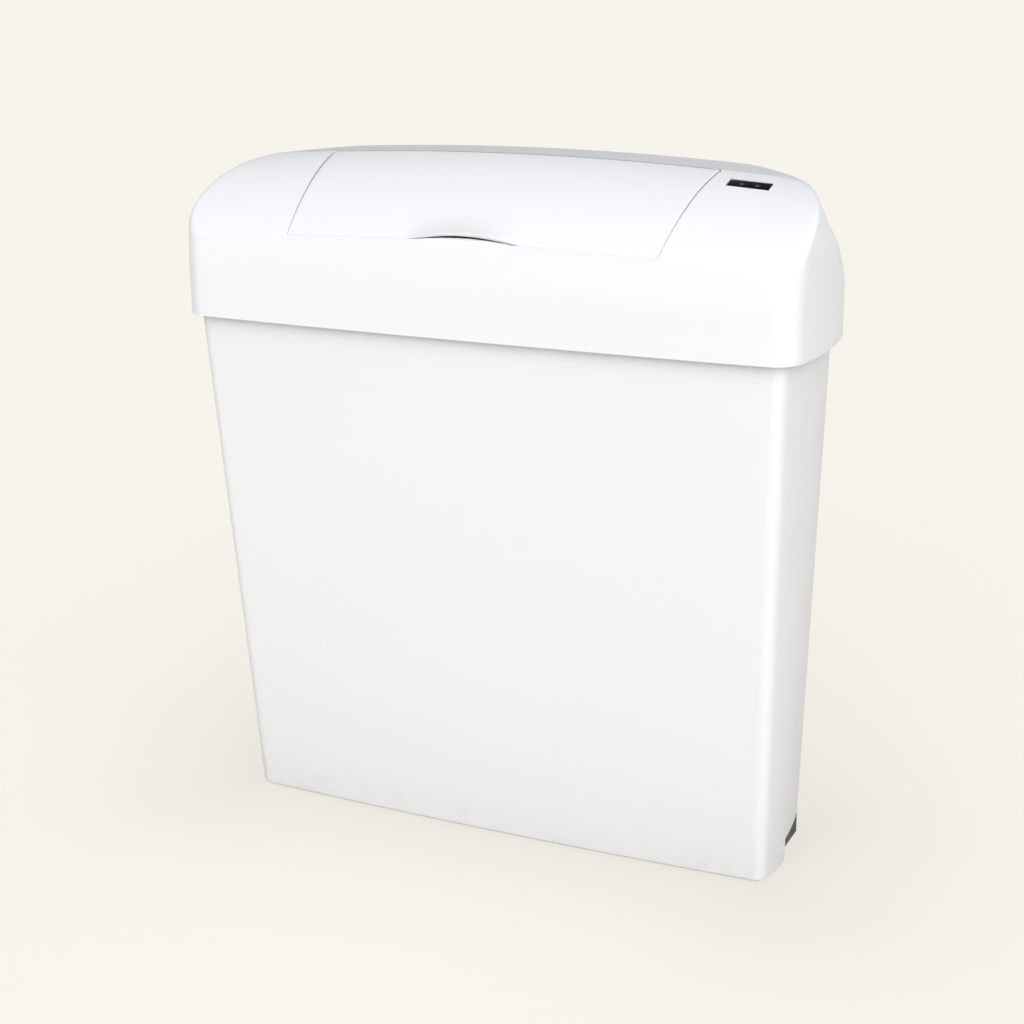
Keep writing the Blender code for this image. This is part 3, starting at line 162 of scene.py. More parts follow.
class Finish(NodeTree):  # a material on the Principled shader
    def __init__(self, name, roughness, metallic=0.0, fixed=None):
        self.material = bpy.data.materials.new(name)
        self.material.use_nodes = True
        super().__init__(self.material.node_tree)
        self.shader = self.tree.nodes["Principled BSDF"]
        self.shader.inputs["Roughness"].default_value = roughness
        self.shader.inputs["Metallic"].default_value = metallic
        for socket, value in (fixed or {}).items():
            self.shader.inputs[socket].default_value = value
        self.place = self.add("ShaderNodeTexCoord", output="Object")
        self.axes = self.add("ShaderNodeSeparateXYZ", None, {0: self.place})

    def paint(self, colour=None, roughness=None, bump=None, depth=0.0001, strength=0.5):
        if colour is not None:
            self.feed(self.shader.inputs["Base Color"], colour)
        if roughness is not None:
            self.feed(self.shader.inputs["Roughness"], roughness)
        if bump is not None:
            normal = self.add("ShaderNodeBump", None,
                              {"Height": bump, "Strength": strength, "Distance": depth})
            self.feed(self.shader.inputs["Normal"], normal)
        return self.material


# Finishes

def makeHoodPlastic():
    tone = {"light": (0.892, 0.900, 0.920), "shade": (0.872, 0.881, 0.902), "dust": (0.70, 0.70, 0.69)}
    finish = Finish("hoodPlastic", 0.34, 0.0, {"Specular IOR Level": 0.34})
    cloud = finish.noise(finish.place, 5.0, 3.0)
    peel = finish.noise(finish.place, 420.0, 1.0)
    speck = finish.add("ShaderNodeTexVoronoi", None, {"Vector": finish.place, "Scale": 60.0})
    speckSize = finish.noise(finish.place, 23.0, 0.0)
    dust = (speck < 0.035) * (speckSize > 0.62)
    colour = finish.mix(cloud, tone["light"], tone["shade"])
    colour = finish.mix(dust * 0.35, colour, tone["dust"])
    rub = finish.noise(finish.place, 14.0, 4.0)
    roughness = finish.between(rub, 0.3, 0.7, 0.33, 0.37)
    return finish.paint(colour, roughness, peel, 0.00002, 0.15)


def markAlong(finish, start, end, width):  # a soft line between two (x, z) places
    x, z = finish.axes.out("X"), finish.axes.out("Z")
    runX, runZ = end[0] - start[0], end[1] - start[1]
    along = (((x - start[0]) * runX + (z - start[1]) * runZ) / (runX * runX + runZ * runZ)).clamped()
    offX = x - start[0] - along * runX
    offZ = z - start[1] - along * runZ
    away = (offX * offX + offZ * offZ) ** 0.5
    return (1.0 - away / width).clamped()


def makeBodyPlastic():
    # the low tone is painted shade for the lower part of the body
    tone = {"light": (0.900, 0.903, 0.910), "low": (0.850, 0.846, 0.842), "mark": (0.985, 0.975, 0.965),
            "scuff": (0.74, 0.73, 0.71)}
    marks = [  # (start, end, width, weight)
        ((-0.201, 0.101), (-0.159, 0.131), 0.0010, 0.50),
        ((-0.159, 0.131), (-0.113, 0.163), 0.0009, 0.16),
        ((0.094, 0.050), (0.125, 0.0525), 0.0011, 0.35),
    ]
    ring = {"centre": (-0.1445, 0.1395), "radius": 0.0042, "width": 0.0009, "weight": 0.3}
    zone = {"front": -0.02, "low": 0.30, "paintedLowShade": 0.75, "hem": 0.035, "hemShare": 0.4}
    finish = Finish("bodyPlastic", 0.42, 0.0, {"Specular IOR Level": 0.40})
    cloud = finish.noise(finish.place, 4.0, 3.0)
    grain = finish.noise(finish.place, 900.0, 2.0)
    front = finish.axes.out("Y") < zone["front"]
    # painted shade: the body's colour darkens towards the bottom, where less light falls
    low = finish.between(finish.axes.out("Z"), 0.0, zone["low"], zone["paintedLowShade"], 0.0)
    broken = finish.between(finish.noise(finish.place, 160.0, 3.0), 0.30, 0.50)
    worn = None
    for start, end, width, weight in marks:
        line = markAlong(finish, start, end, width) * weight
        worn = line if worn is None else worn.most(line)
    offX = finish.axes.out("X") - ring["centre"][0]
    offZ = finish.axes.out("Z") - ring["centre"][1]
    offRing = abs((offX * offX + offZ * offZ) ** 0.5 - ring["radius"])
    worn = worn.most((1.0 - offRing / ring["width"]).clamped() * ring["weight"])
    worn = worn * front * broken
    # painted shade towards the bottom, mixed in with the random cloud
    colour = finish.mix((cloud * 0.5 + low).clamped(), tone["light"], tone["low"])
    colour = finish.mix(worn, colour, tone["mark"])
    hem = finish.between(finish.axes.out("Z"), 0.0, zone["hem"], 1.0, 0.0)
    dirt = finish.between(finish.noise(finish.place, 55.0, 4.0), 0.52, 0.72) * hem * zone["hemShare"]
    colour = finish.mix(dirt, colour, tone["scuff"])
    roughness = finish.between(finish.noise(finish.place, 30.0, 4.0), 0.3, 0.7, 0.38, 0.48) + worn * 0.2
    return finish.paint(colour, roughness, grain, 0.00005, 0.3)


def makeMoulded(name, light, shade, roughness, grain=800.0, depth=0.00006):
    finish = Finish(name, roughness, 0.0, {"Specular IOR Level": 0.40})
    cloud = finish.noise(finish.place, 9.0, 4.0)
    texture = finish.noise(finish.place, grain, 2.0)
    flow = finish.noise(finish.stretch(finish.place, (14.0, 90.0, 90.0)), 1.0, 3.0)
    colour = finish.mix((cloud * 0.6 + flow * 0.4).clamped(), light, shade)
    rough = finish.between(flow, 0.3, 0.7, roughness - 0.05, roughness + 0.06)
    return finish.paint(colour, rough, texture, depth, 0.4)


def makeRubber():
    finish = Finish("footRubber", 0.8, 0.0, {"Specular IOR Level": 0.30})
    dust = finish.between(finish.noise(finish.place, 70.0, 5.0), 0.42, 0.70)
    pebble = finish.add("ShaderNodeTexVoronoi", None, {"Vector": finish.place, "Scale": 900.0})
    colour = finish.mix(dust * 0.7, (0.095, 0.090, 0.082), (0.22, 0.21, 0.19))
    return finish.paint(colour, finish.between(dust, 0.0, 1.0, 0.72, 0.9), pebble, 0.0002, 0.6)


def makeMetal(name, light, shade, roughness, lines):  # lines: how fine the brushing is along X, Y and Z
    finish = Finish(name, roughness, 1.0)
    brush = finish.noise(finish.stretch(finish.place, lines), 1.0, 3.0, 0.6)
    cloud = finish.noise(finish.place, 60.0, 4.0)
    colour = finish.mix((brush * 0.7 + cloud * 0.3).clamped(), light, shade)
    rough = finish.between(brush, 0.3, 0.7, roughness - 0.08, roughness + 0.10)
    return finish.paint(colour, rough, brush, 0.00003, 0.35)


def makeGloss():
    # painted glints: two small lighter bluish spots painted into the black window's colour, over the LEDs
    # under it
    paintedGlints = {"places": ((0.1733, 0.0085), (0.1843, 0.0085)), "radius": 0.0024}
    finish = Finish("sensorGloss", 0.12, 0.0, {"Specular IOR Level": 0.10})
    x, y = finish.axes.out("X"), finish.axes.out("Y")
    seen = None
    for placeX, placeY in paintedGlints["places"]:
        offX, offY = x - placeX, (y - placeY) * 1.3
        spot = (1.0 - (offX * offX + offY * offY) ** 0.5 / paintedGlints["radius"]).clamped()
        seen = spot if seen is None else seen.most(spot)
    smear = finish.noise(finish.place, 240.0, 3.0)
    # the painted glint spots are mixed into the base colour here
    colour = finish.mix(seen * 0.6, (0.004, 0.004, 0.006), (0.16, 0.19, 0.26))
    return finish.paint(colour, finish.between(smear, 0.4, 0.7, 0.10, 0.17), smear, 0.00001, 0.1)


def makeCircuit():
    finish = Finish("circuitBoard", 0.4, 0.0, {"Coat Weight": 0.3})
    lanes = finish.add("ShaderNodeTexBrick", {"offset": 0.35},
                       {"Vector": finish.place, "Scale": 210.0, "Mortar Size": 0.06, "Mortar Smooth": 0.1,
                        "Color1": (0.012, 0.115, 0.045, 1.0), "Color2": (0.010, 0.100, 0.040, 1.0),
                        "Mortar": (0.030, 0.200, 0.080, 1.0)})
    pads = finish.add("ShaderNodeTexVoronoi", None, {"Vector": finish.place, "Scale": 330.0})
    tinned = (pads < 0.16) * (finish.noise(finish.place, 130.0, 0.0) > 0.55)
    colour = finish.mix(tinned, lanes, (0.62, 0.62, 0.60))
    height = lanes.out("Fac") + tinned
    return finish.paint(colour, finish.between(tinned, 0.0, 1.0, 0.42, 0.28), height, 0.00006, 0.5)


def makeCellJacket():
    finish = Finish("cellJacket", 0.28, 0.0, {"Coat Weight": 0.5, "Coat Roughness": 0.08})
    x = finish.axes.out("X")
    copper = (x > cellSizes["bandX"]) * (x < cellSizes["jacketX"])
    bare = x > cellSizes["jacketX"]
    printed = finish.noise(finish.stretch(finish.place, (30.0, 260.0, 260.0)), 1.0, 2.0)
    black = finish.mix(printed, (0.020, 0.020, 0.024), (0.045, 0.045, 0.05))
    gold = finish.mix(printed, (0.42, 0.25, 0.13), (0.50, 0.31, 0.17))
    steel = finish.mix(printed, (0.55, 0.55, 0.54), (0.68, 0.68, 0.67))
    colour = finish.mix(bare, finish.mix(copper, black, gold), steel)
    finish.feed(finish.shader.inputs["Metallic"], (bare + copper * 0.5).clamped())
    return finish.paint(colour, finish.between(printed, 0.3, 0.7, 0.22, 0.34), printed, 0.00002, 0.2)


def makeCable():
    finish = Finish("cableJacket", 0.45)
    dust = finish.between(finish.noise(finish.place, 180.0, 4.0), 0.45, 0.75)
    ribs = finish.noise(finish.place, 1500.0, 1.0)
    colour = finish.mix(dust * 0.5, (0.018, 0.018, 0.02), (0.07, 0.07, 0.07))
    return finish.paint(colour, finish.between(dust, 0.0, 1.0, 0.38, 0.6), ribs, 0.00004, 0.4)


def makeLens():
    finish = Finish("lensSmoke", 0.08, 0.0, {"Coat Weight": 0.5})
    swirl = finish.noise(finish.place, 500.0, 2.0)
    colour = finish.mix(swirl, (0.035, 0.012, 0.040), (0.07, 0.025, 0.06))
    return finish.paint(colour, finish.between(swirl, 0.3, 0.7, 0.05, 0.14), swirl, 0.00001, 0.1)


cellSizes = {  # radii as shares of the full one
    "bandX": -0.178, "jacketX": -0.1675, "steps": 56, "cap": 0.0015, "round": 0.0009, "dish": 0.0004,
    "dishInner": 0.80, "dishOuter": 0.86, "capStep": 0.0003, "neck": 0.42, "tip": 0.36, "tipEnd": 0.30,
}

finishes = {
    "hood": makeHoodPlastic(),
    "body": makeBodyPlastic(),
    "ring": makeMoulded("ringPlastic", (0.56, 0.565, 0.57), (0.50, 0.505, 0.515), 0.48),
    "chassis": makeMoulded("chassisPlastic", (0.50, 0.505, 0.515), (0.44, 0.445, 0.455), 0.50),
    "tray": makeMoulded("trayPlastic", (0.60, 0.605, 0.61), (0.54, 0.545, 0.555), 0.42),
    "bracket": makeMoulded("bracketPlastic", (0.38, 0.385, 0.395), (0.32, 0.325, 0.335), 0.46),
    "battery": makeMoulded("batteryPlastic", (0.46, 0.465, 0.475), (0.40, 0.405, 0.415), 0.50),
    "gearbox": makeMoulded("gearboxPlastic", (0.11, 0.11, 0.115), (0.08, 0.08, 0.085), 0.40),
    "cartridge": makeMoulded("cartridgePlastic", (0.30, 0.42, 0.50), (0.25, 0.36, 0.44), 0.46),
    "switch": makeMoulded("switchPlastic", (0.045, 0.045, 0.05), (0.03, 0.03, 0.034), 0.40),
    "knob": makeMoulded("knobPlastic", (0.62, 0.10, 0.06), (0.52, 0.08, 0.05), 0.42),
    "gear": makeMoulded("gearNylon", (0.80, 0.785, 0.725), (0.73, 0.71, 0.64), 0.38),
    "rubber": makeRubber(),
    "gloss": makeGloss(),
    "board": makeCircuit(),
    "cell": makeCellJacket(),
    "cable": makeCable(),
    "lens": makeLens(),
    "component": makeMoulded("componentEpoxy", (0.055, 0.055, 0.058), (0.030, 0.030, 0.034), 0.38),
    "hinge": makeMetal("hingeSteel", (0.60, 0.60, 0.59), (0.50, 0.50, 0.49), 0.34, (60.0, 900.0, 900.0)),
    "pin": makeMetal("pinSteel", (0.66, 0.66, 0.66), (0.56, 0.56, 0.56), 0.24, (60.0, 1100.0, 1100.0)),
    "screw": makeMetal("screwSteel", (0.58, 0.58, 0.57), (0.46, 0.46, 0.45), 0.30, (900.0, 900.0, 90.0)),
    "motor": makeMetal("motorSteel", (0.63, 0.63, 0.61), (0.54, 0.54, 0.52), 0.28, (80.0, 700.0, 700.0)),
    "contact": makeMetal("contactSteel", (0.70, 0.69, 0.66), (0.60, 0.58, 0.55), 0.30, (900.0, 90.0, 900.0)),
}
print("finishes made:", len(finishes))


# Mesh helpers

def makePiece(name, points, faces):
    mesh = bpy.data.meshes.new(name)
    mesh.from_pydata(points, [], faces)
    item = bpy.data.objects.new(name, mesh)
    scene.collection.objects.link(item)
    return item


def linkRings(count, rings, closed=True, capLow=False, capHigh=False):
    faces = []
    for level in range(rings - 1):
        for index in range(count if closed else count - 1):
            after = (index + 1) % count
            faces.append((level * count + index, level * count + after,
                          (level + 1) * count + after, (level + 1) * count + index))
    if capLow:
        faces.append(tuple(reversed(range(count))))
    if capHigh:
        faces.append(tuple((rings - 1) * count + index for index in range(count)))
    return faces


def makeLoft(name, rings, closed=True, capLow=False, capHigh=False):
    return makePiece(name, [point for ring in rings for point in ring],
                     linkRings(len(rings[0]), len(rings), closed, capLow, capHigh))


def makeBlock(name, low, high):
    corners = [(x, y, z) for x in (low[0], high[0]) for y in (low[1], high[1]) for z in (low[2], high[2])]
    faces = [(0, 1, 3, 2), (4, 6, 7, 5), (0, 4, 5, 1), (2, 3, 7, 6), (0, 2, 6, 4), (1, 5, 7, 3)]
    return makePiece(name, corners, faces)


def makePlate(name, loop, low, high):  # a (y, z) outline between two x
    points = [(x, y, z) for x in (low, high) for y, z in loop]
    count = len(loop)
    item = makePiece(name, points, linkRings(count, 2, True, True, True))
    turnOut(item)
    return item


def turnOut(item):
    shape = bmesh.new()
    shape.from_mesh(item.data)
    bmesh.ops.recalc_face_normals(shape, faces=shape.faces)
    shape.to_mesh(item.data)
    shape.free()


def makeTurned(name, profile, axis, centre, steps=48):  # profile: (along, radius) pairs
    points, rows = [], []
    for along, radius in profile:
        rows.append((len(points), radius > 0))
        for step in range(steps if radius > 0 else 1):
            angle = 2 * math.pi * step / steps
            across = (radius * math.cos(angle), radius * math.sin(angle))
            place = {"X": (along, *across), "Y": (across[1], along, across[0]), "Z": (*across, along)}[axis]
            points.append(tuple(value + shift for value, shift in zip(place, centre)))
    faces = []
    for (start, wide), (following, nextWide) in zip(rows, rows[1:]):
        for step in range(steps):
            after = (step + 1) % steps
            if wide and nextWide:
                faces.append((start + step, start + after, following + after, following + step))
            elif nextWide:
                faces.append((start, following + after, following + step))
            elif wide:
                faces.append((start + step, start + after, following))
    item = makePiece(name, points, faces)
    turnOut(item)
    return item


def makeRod(name, low, high, radius, axis, centre, steps=48):
    return makeTurned(name, [(low, 0), (low, radius), (high, radius), (high, 0)], axis, centre, steps)


def wall(item, thickness):
    change = item.modifiers.new("wall", "SOLIDIFY")
    change.thickness = thickness
    change.offset = -1.0
    change.use_even_offset = True


steepAngle = 50  # degrees; edges that turn less stay as they are


def soften(item, width, angle=35, segments=2):
    change = item.modifiers.new("edges", "BEVEL")
    change.width = width
    change.segments = segments
    change.limit_method = "ANGLE"
    change.angle_limit = math.radians(angle)
    change.use_clamp_overlap = True


def cut(item, cutter, operation="DIFFERENCE", solver="EXACT"):
    change = item.modifiers.new("cut", "BOOLEAN")
    change.operation = operation
    change.solver = solver
    change.object = cutter


def settle(item, sharp=30, spare=()):  # modifiers and place go into a plain mesh
    bpy.context.view_layer.update()
    graph = bpy.context.evaluated_depsgraph_get()
    mesh = bpy.data.meshes.new_from_object(item.evaluated_get(graph))
    mesh.transform(item.matrix_world)
    name = item.name
    bpy.data.objects.remove(item)
    for other in spare:
        bpy.data.objects.remove(other)
    mesh.shade_smooth()
    mesh.set_sharp_from_angle(angle=math.radians(sharp))
    fresh = bpy.data.objects.new(name, mesh)
    scene.collection.objects.link(fresh)
    return fresh


def joinInto(main, others):
    shape = bmesh.new()
    shape.from_mesh(main.data)
    for other in others:
        shape.from_mesh(other.data)
        bpy.data.objects.remove(other)
    shape.to_mesh(main.data)
    shape.free()
    return main


def dress(item, finish, body, replaced=()):
    item.data.materials.clear()
    item.data.materials.append(finishes[finish])
    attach(item, body)
    if replaced:
        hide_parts(*replaced)
    return item


# Hood and flap: one surface, swept from the lip to the crest

hoodSizes = {
    "halfWidth": 0.240, "halfDepth": 0.0675, "top": 0.5105, "wall": 0.0025,
    "lip": 0.3925, "tone": 0.431, "crease": 0.4511, "creaseArch": 0.0097, "creaseLean": 0.002,
    "shoulder": 0.4541, "shoulderInset": 0.0425, "shoulderPower": 2.7, "crownFall": 0.0077, "crownPower": 1.4,
    "slopeCurve": 0.66, "crestY": 0.0265, "frontBow": 0.0049, "sideBow": 0.0077,
    "frontCorner": 0.017, "slopeCorner": 0.004, "rearCorner": 0.020, "cornerBlend": 0.24,
    "domeCornerX": 0.0425, "domeCornerY": 0.070, "domePower": 1.67, "domeHeight": 0.4803, "cornerLimit": 0.97,
    "reliefHalf": 0.2318, "reliefY": 0.055, "reliefRear": 0.2, "reliefTop": 0.404, "slab": 0.016,
    "cornerSteps": 12, "frontSteps": 72, "sideSteps": 14, "rearSteps": 30,
    "bandSteps": 8, "creaseSteps": 6, "lowSteps": 3, "slopeSteps": 40, "topSteps": 16,
    "edge": 0.0007, "edgeAngle": 24, "cutEdge": 0.00022, "sharp": 26,
}
flapSizes = {
    "halfFront": 0.141, "halfRear": 0.1515, "seamLow": 0.0004, "seamHigh": 0.0022,
    "scoopHalf": 0.043, "scoopLift": 0.0060, "scoopReach": 0.24, "scoopForward": 0.22,
    "frontSeam": 0.0014, "rearSeam": 0.0036, "rows": 48, "columns": 140, "edge": 0.0004,
    "tongueHalf": 0.036, "tongue": 0.026, "rearIn": 0.0006, "rowPower": 1.15,
}
frontCornerY = -hoodSizes["halfDepth"] + hoodSizes["frontBow"]


def planRing(width, front, rear, height, frontCorner, rearCorner, bow, arch=0.0, power=1.0):
    corners, sides = hoodSizes["cornerSteps"], hoodSizes["sideSteps"]
    cornerX, cornerY = rearCorner
    quarter = [math.pi / 2 * step / corners for step in range(corners + 1)]
    points = [(-width + frontCorner * (1 - math.cos(a)), front + frontCorner * (1 - math.sin(a)))
              for a in quarter]
    flat = width - frontCorner
    steps = hoodSizes["frontSteps"]
    points += [(-flat + 2 * flat * step / steps, front) for step in range(1, steps)]
    points += [(flat + frontCorner * math.sin(a), front + frontCorner * (1 - math.cos(a))) for a in quarter]
    low, high = front + frontCorner, rear - cornerY
    points += [(width, low + (high - low) * step / sides) for step in range(1, sides)]
    rounded = [(1 - abs(math.cos(a)) ** power, 1 - math.sin(a) ** power) for a in quarter]
    points += [(width - cornerX * across, rear - cornerY * along) for across, along in rounded]
    flat = width - cornerX
    steps = hoodSizes["rearSteps"]
    points += [(flat - 2 * flat * step / steps, rear) for step in range(1, steps)]
    points += [(cornerX * across - width, rear - cornerY * along) for across, along in reversed(rounded)]
    points += [(-width, high + (low - high) * step / sides) for step in range(1, sides)]
    middle = (front + rear) / 2
    ring = []
    for x, y in points:
        near = min(max((middle - y) / (middle - front), 0), 1)
        bulge = (1 - (x / width) ** 2) * near
        drawnIn = hoodSizes["sideBow"] * (y / hoodSizes["halfDepth"]) ** 2 * (abs(x) / width) ** 4
        ring.append((x - math.copysign(drawnIn, x), y - bow * bulge, height + arch * bulge))
    return ring


def hoodHalfWidth(height):
    size = hoodSizes
    if height <= size["shoulder"]:
        return size["halfWidth"]
    rise = min((height - size["shoulder"]) / (size["top"] - size["shoulder"]), 1)
    power = size["shoulderPower"]
    return size["halfWidth"] - size["shoulderInset"] * (1 - (1 - rise ** power) ** (1 / power))


def slopeRise(height):
    return min(max((height - hoodSizes["crease"]) / (hoodSizes["top"] - hoodSizes["crease"]), 0), 1)


def crown(x, height):  # the top falls a little towards the ends
    reach = hoodSizes["halfWidth"] - hoodSizes["shoulderInset"]
    return height - hoodSizes["crownFall"] * (x / reach) ** 2 * slopeRise(height) ** hoodSizes["crownPower"]


def slopeShare(height):  # 0 at the crease, 1 at the crest
    rise = slopeRise(height)
    curve = hoodSizes["slopeCurve"]
    return ((1 + curve) - math.sqrt((1 + curve) ** 2 - 4 * curve * rise)) / (2 * curve)


def slopePoint(share):
    curve = hoodSizes["slopeCurve"]
    rise = hoodSizes["top"] - hoodSizes["crease"]
    height = hoodSizes["crease"] + rise * ((1 + curve) * share - curve * share ** 2)
    creaseY = frontCornerY + hoodSizes["creaseLean"]
    return creaseY + (hoodSizes["crestY"] - creaseY) * share, height


def hoodRing(height, inset=0.0):
    size = hoodSizes
    width = hoodHalfWidth(height)
    share = slopeShare(height)
    front, arch, corner = frontCornerY, 0.0, size["frontCorner"]
    if size["tone"] < height < size["crease"]:
        rise = (height - size["tone"]) / (size["crease"] - size["tone"])
        front, arch = frontCornerY + size["creaseLean"] * rise, size["creaseArch"] * rise
    elif height >= size["crease"]:
        front, arch = slopePoint(share)[0], size["creaseArch"] * (1 - share) ** 2
        left = max(1 - share / size["cornerBlend"], 0)
        corner = size["slopeCorner"] + (size["frontCorner"] - size["slopeCorner"]) * left ** 2
    dome = min(max((height - size["tone"]) / (size["domeHeight"] - size["tone"]), 0), 1)
    cornerX = size["rearCorner"] + (size["domeCornerX"] - size["rearCorner"]) * dome
    cornerY = size["rearCorner"] + (size["domeCornerY"] - size["rearCorner"]) * dome
    cornerX = min(cornerX, width * size["cornerLimit"])
    cornerY = min(cornerY, (size["halfDepth"] - front - corner) * size["cornerLimit"])
    ring = planRing(width, front, size["halfDepth"], height, corner, (cornerX, cornerY),
                    size["frontBow"] * (1 - share), arch, 1 + (size["domePower"] - 1) * dome)
    middle = (front + size["halfDepth"]) / 2
    if inset > 0:
        drawn = [(x * (1 - inset), y + (middle - y) * inset) for x, y, z in ring]
        return [(x, y, crown(x, height)) for x, y in drawn]
    return [(x, y, z + crown(x, height) - height) for x, y, z in ring]


def flapSkin(seams, frontExtra, rearExtra, lift, tongue=0.0):
    size = flapSizes
    rows = []
    for step in range(size["rows"] + 1):
        rise = (step / size["rows"]) ** size["rowPower"]
        row = []
        for column in range(size["columns"] + 1):
            across = -1 + 2 * column / size["columns"]
            x = across * (size["halfFront"] + (size["halfRear"] - size["halfFront"]) * rise
                          + seams[0] + (seams[1] - seams[0]) * rise)
            front = frontExtra + tongue * max(1 - (x / size["tongueHalf"]) ** 2, 0)
            share = front + (1 + rearExtra - front) * rise
            y, level = slopePoint(share)
            bulge = 1 - (x / hoodHalfWidth(level)) ** 2
            y -= hoodSizes["frontBow"] * (1 - share) * bulge
            height = crown(x, level) + hoodSizes["creaseArch"] * (1 - share) ** 2 * bulge
            if lift > 0 and abs(x) < size["scoopHalf"] and rise < size["scoopReach"]:
                raised = lift * (1 - (x / size["scoopHalf"]) ** 2) * (1 - rise / size["scoopReach"]) ** 2
                y, height = y - raised * size["scoopForward"], height + raised
            row.append((x, y, height))
        rows.append(row)
    return rows


def makeHood():
    size = hoodSizes
    heights = []
    for start, end, steps in (("lip", "tone", "bandSteps"), ("tone", "crease", "creaseSteps"),
                              ("crease", "shoulder", "lowSteps")):
        count = size[steps]
        heights += [size[start] + (size[end] - size[start]) * step / count for step in range(count)]
    rise = size["top"] - size["shoulder"]
    steps = size["slopeSteps"]
    heights += [size["shoulder"] + rise * math.sin(math.pi / 2 * step / steps) for step in range(steps + 1)]
    rings = [hoodRing(height) for height in heights]
    rings += [hoodRing(size["top"], step / size["topSteps"]) for step in range(1, size["topSteps"])]
    hood = makeLoft("hoodShell", rings, capHigh=True)
    soften(hood, size["edge"], size["edgeAngle"])
    wall(hood, size["wall"])
    lid = flapSizes
    rows = flapSkin((lid["seamLow"], lid["seamHigh"]), -lid["frontSeam"], -lid["rearIn"], 0.0, lid["tongue"])
    opening = makeLoft("opening", rows, closed=False)
    slab = opening.modifiers.new("slab", "SOLIDIFY")
    slab.thickness = size["slab"]
    slab.offset = 0.0
    cut(hood, opening, solver="MANIFOLD")
    tail = makeTailRoom()
    cut(hood, tail, solver="MANIFOLD")
    relief = makeBlock("relief", (-size["reliefHalf"], size["reliefY"], 0),
                       (size["reliefHalf"], size["reliefRear"], size["reliefTop"]))
    cut(hood, relief)
    window = makeWindowHole()
    cut(hood, window)
    soften(hood, size["cutEdge"], steepAngle, 1)
    hood = settle(hood, size["sharp"], (opening, tail, relief, window))
    joinInto(hood, makeLugs())
    return dress(hood, "hood", "hood", ["hood_shell"])


windowSizes = {"x": 0.1788, "y": 0.0085, "length": 0.0306, "width": 0.0111, "depth": 0.010, "step": 0.001}


def makeWindowHole():  # square to the slope at the window
    size = windowSizes
    creaseY = frontCornerY + hoodSizes["creaseLean"]
    share = (size["y"] - creaseY) / (hoodSizes["crestY"] - creaseY)
    y, level = slopePoint(share)
    aheadY, aheadLevel = slopePoint(share + size["step"])
    aside = (hoodSizes["halfWidth"] - hoodSizes["shoulderInset"]) * size["step"]
    height = crown(size["x"], level)
    tilt = math.atan2(crown(size["x"], aheadLevel) - height, aheadY - y)
    roll = math.atan2(height - crown(size["x"] + aside, level), aside)
    half = Vector((size["length"], size["width"], size["depth"])) / 2
    hole = makeBlock("window", -half, half)
    hole.rotation_euler = (tilt, roll, 0)
    hole.location = (size["x"], y, height)
    return hole


tailSizes = {"half": 0.152, "clearance": 0.0001, "steps": 40, "from": 52, "to": 0, "turn": 4, "inner": 0.004}


def makeTailRoom():  # the way that the flap's rear edge swings through
    size = tailSizes
    axisY, axisZ = webSizes["axisY"], webSizes["axisZ"]
    angles = [math.radians(angle) for angle in range(size["from"] + size["turn"], size["to"], -size["turn"])]
    rings = []
    for step in range(size["steps"] + 1):
        x = size["half"] * (2 * step / size["steps"] - 1)
        crestZ = crown(x, hoodSizes["top"])
        radius = math.hypot(hoodSizes["crestY"] - axisY, crestZ - axisZ) + size["clearance"]
        arc = [(x, axisY + radius * math.cos(angle), axisZ + radius * math.sin(angle)) for angle in angles]
        inner = [(x, y - size["inner"], z - size["inner"]) for _, y, z in reversed(arc)]
        rings.append(arc + inner)
    room = makeLoft("tailRoom", rings, closed=True, capLow=True, capHigh=True)
    turnOut(room)
    return room


lugSizes = {"length": 0.012, "depth": 0.013, "low": 0.4094, "height": 0.008, "frontX": 0.100, "rearX": 0.212,
            "bite": 0.0012, "bore": 0.0018, "boreLow": -0.01, "boreHigh": 0.02, "boreSteps": 24,
            "edge": 0.0006}


def lugPlaces():  # (x, y) of each screw and the way to the wall that carries its lug
    size, shell = lugSizes, hoodSizes
    reach = size["depth"] / 2
    bulge = shell["frontBow"] * (1 - (size["frontX"] / shell["halfWidth"]) ** 2)
    places = []
    for side in (-1, 1):
        places.append(((side * (shell["halfWidth"] - shell["wall"] - reach), 0.0), (side, 0)))
        places.append(((side * size["frontX"], frontCornerY - bulge + shell["wall"] + reach), (0, -1)))
        places.append(((side * size["rearX"], shell["halfDepth"] - shell["wall"] - reach), (0, 1)))
    return places


def makeLugs():
    size = lugSizes
    lugs = []
    for place, toward in lugPlaces():
        low, high = [], []
        for spot, way in zip(place, toward):
            reach = (size["depth"] if way else size["length"]) / 2
            low.append(spot - reach - (size["bite"] if way < 0 else 0))
            high.append(spot + reach + (size["bite"] if way > 0 else 0))
        lug = makeBlock("lug", (*low, size["low"]), (*high, size["low"] + size["height"]))
        bore = makeRod("bore", size["boreLow"], size["boreHigh"], size["bore"], "Z", (*place, size["low"]),
                       size["boreSteps"])
        cut(lug, bore)
        soften(lug, size["edge"], steepAngle)
        lugs.append(settle(lug, spare=(bore,)))
    return lugs


webSizes = {"x": 0.134, "thickness": 0.003, "depth": 0.009, "low": 0.12, "high": 0.97, "bite": 0.001125,
            "steps": 24, "axisY": 0.012, "axisZ": 0.492, "bossRadius": 0.0058, "bossEnd": 0.1459,
            "bossFrom": -135, "bossTurn": 15, "bossSteps": 40, "bore": 0.0033, "boreReach": 0.01,
            "boreSteps": 32, "edge": 0.0004, "step": 0.001}


def skinUnder(share, x, depth):
    y, level = slopePoint(share)
    aheadY, aheadLevel = slopePoint(share + webSizes["step"])
    tilt = math.atan2(crown(x, aheadLevel) - crown(x, level), aheadY - y)
    bulge = 1 - (x / hoodSizes["halfWidth"]) ** 2
    y -= hoodSizes["frontBow"] * (1 - share) * bulge
    height = crown(x, level) + hoodSizes["creaseArch"] * (1 - share) ** 2 * bulge
    return y + depth * math.sin(tilt), height - depth * math.cos(tilt)


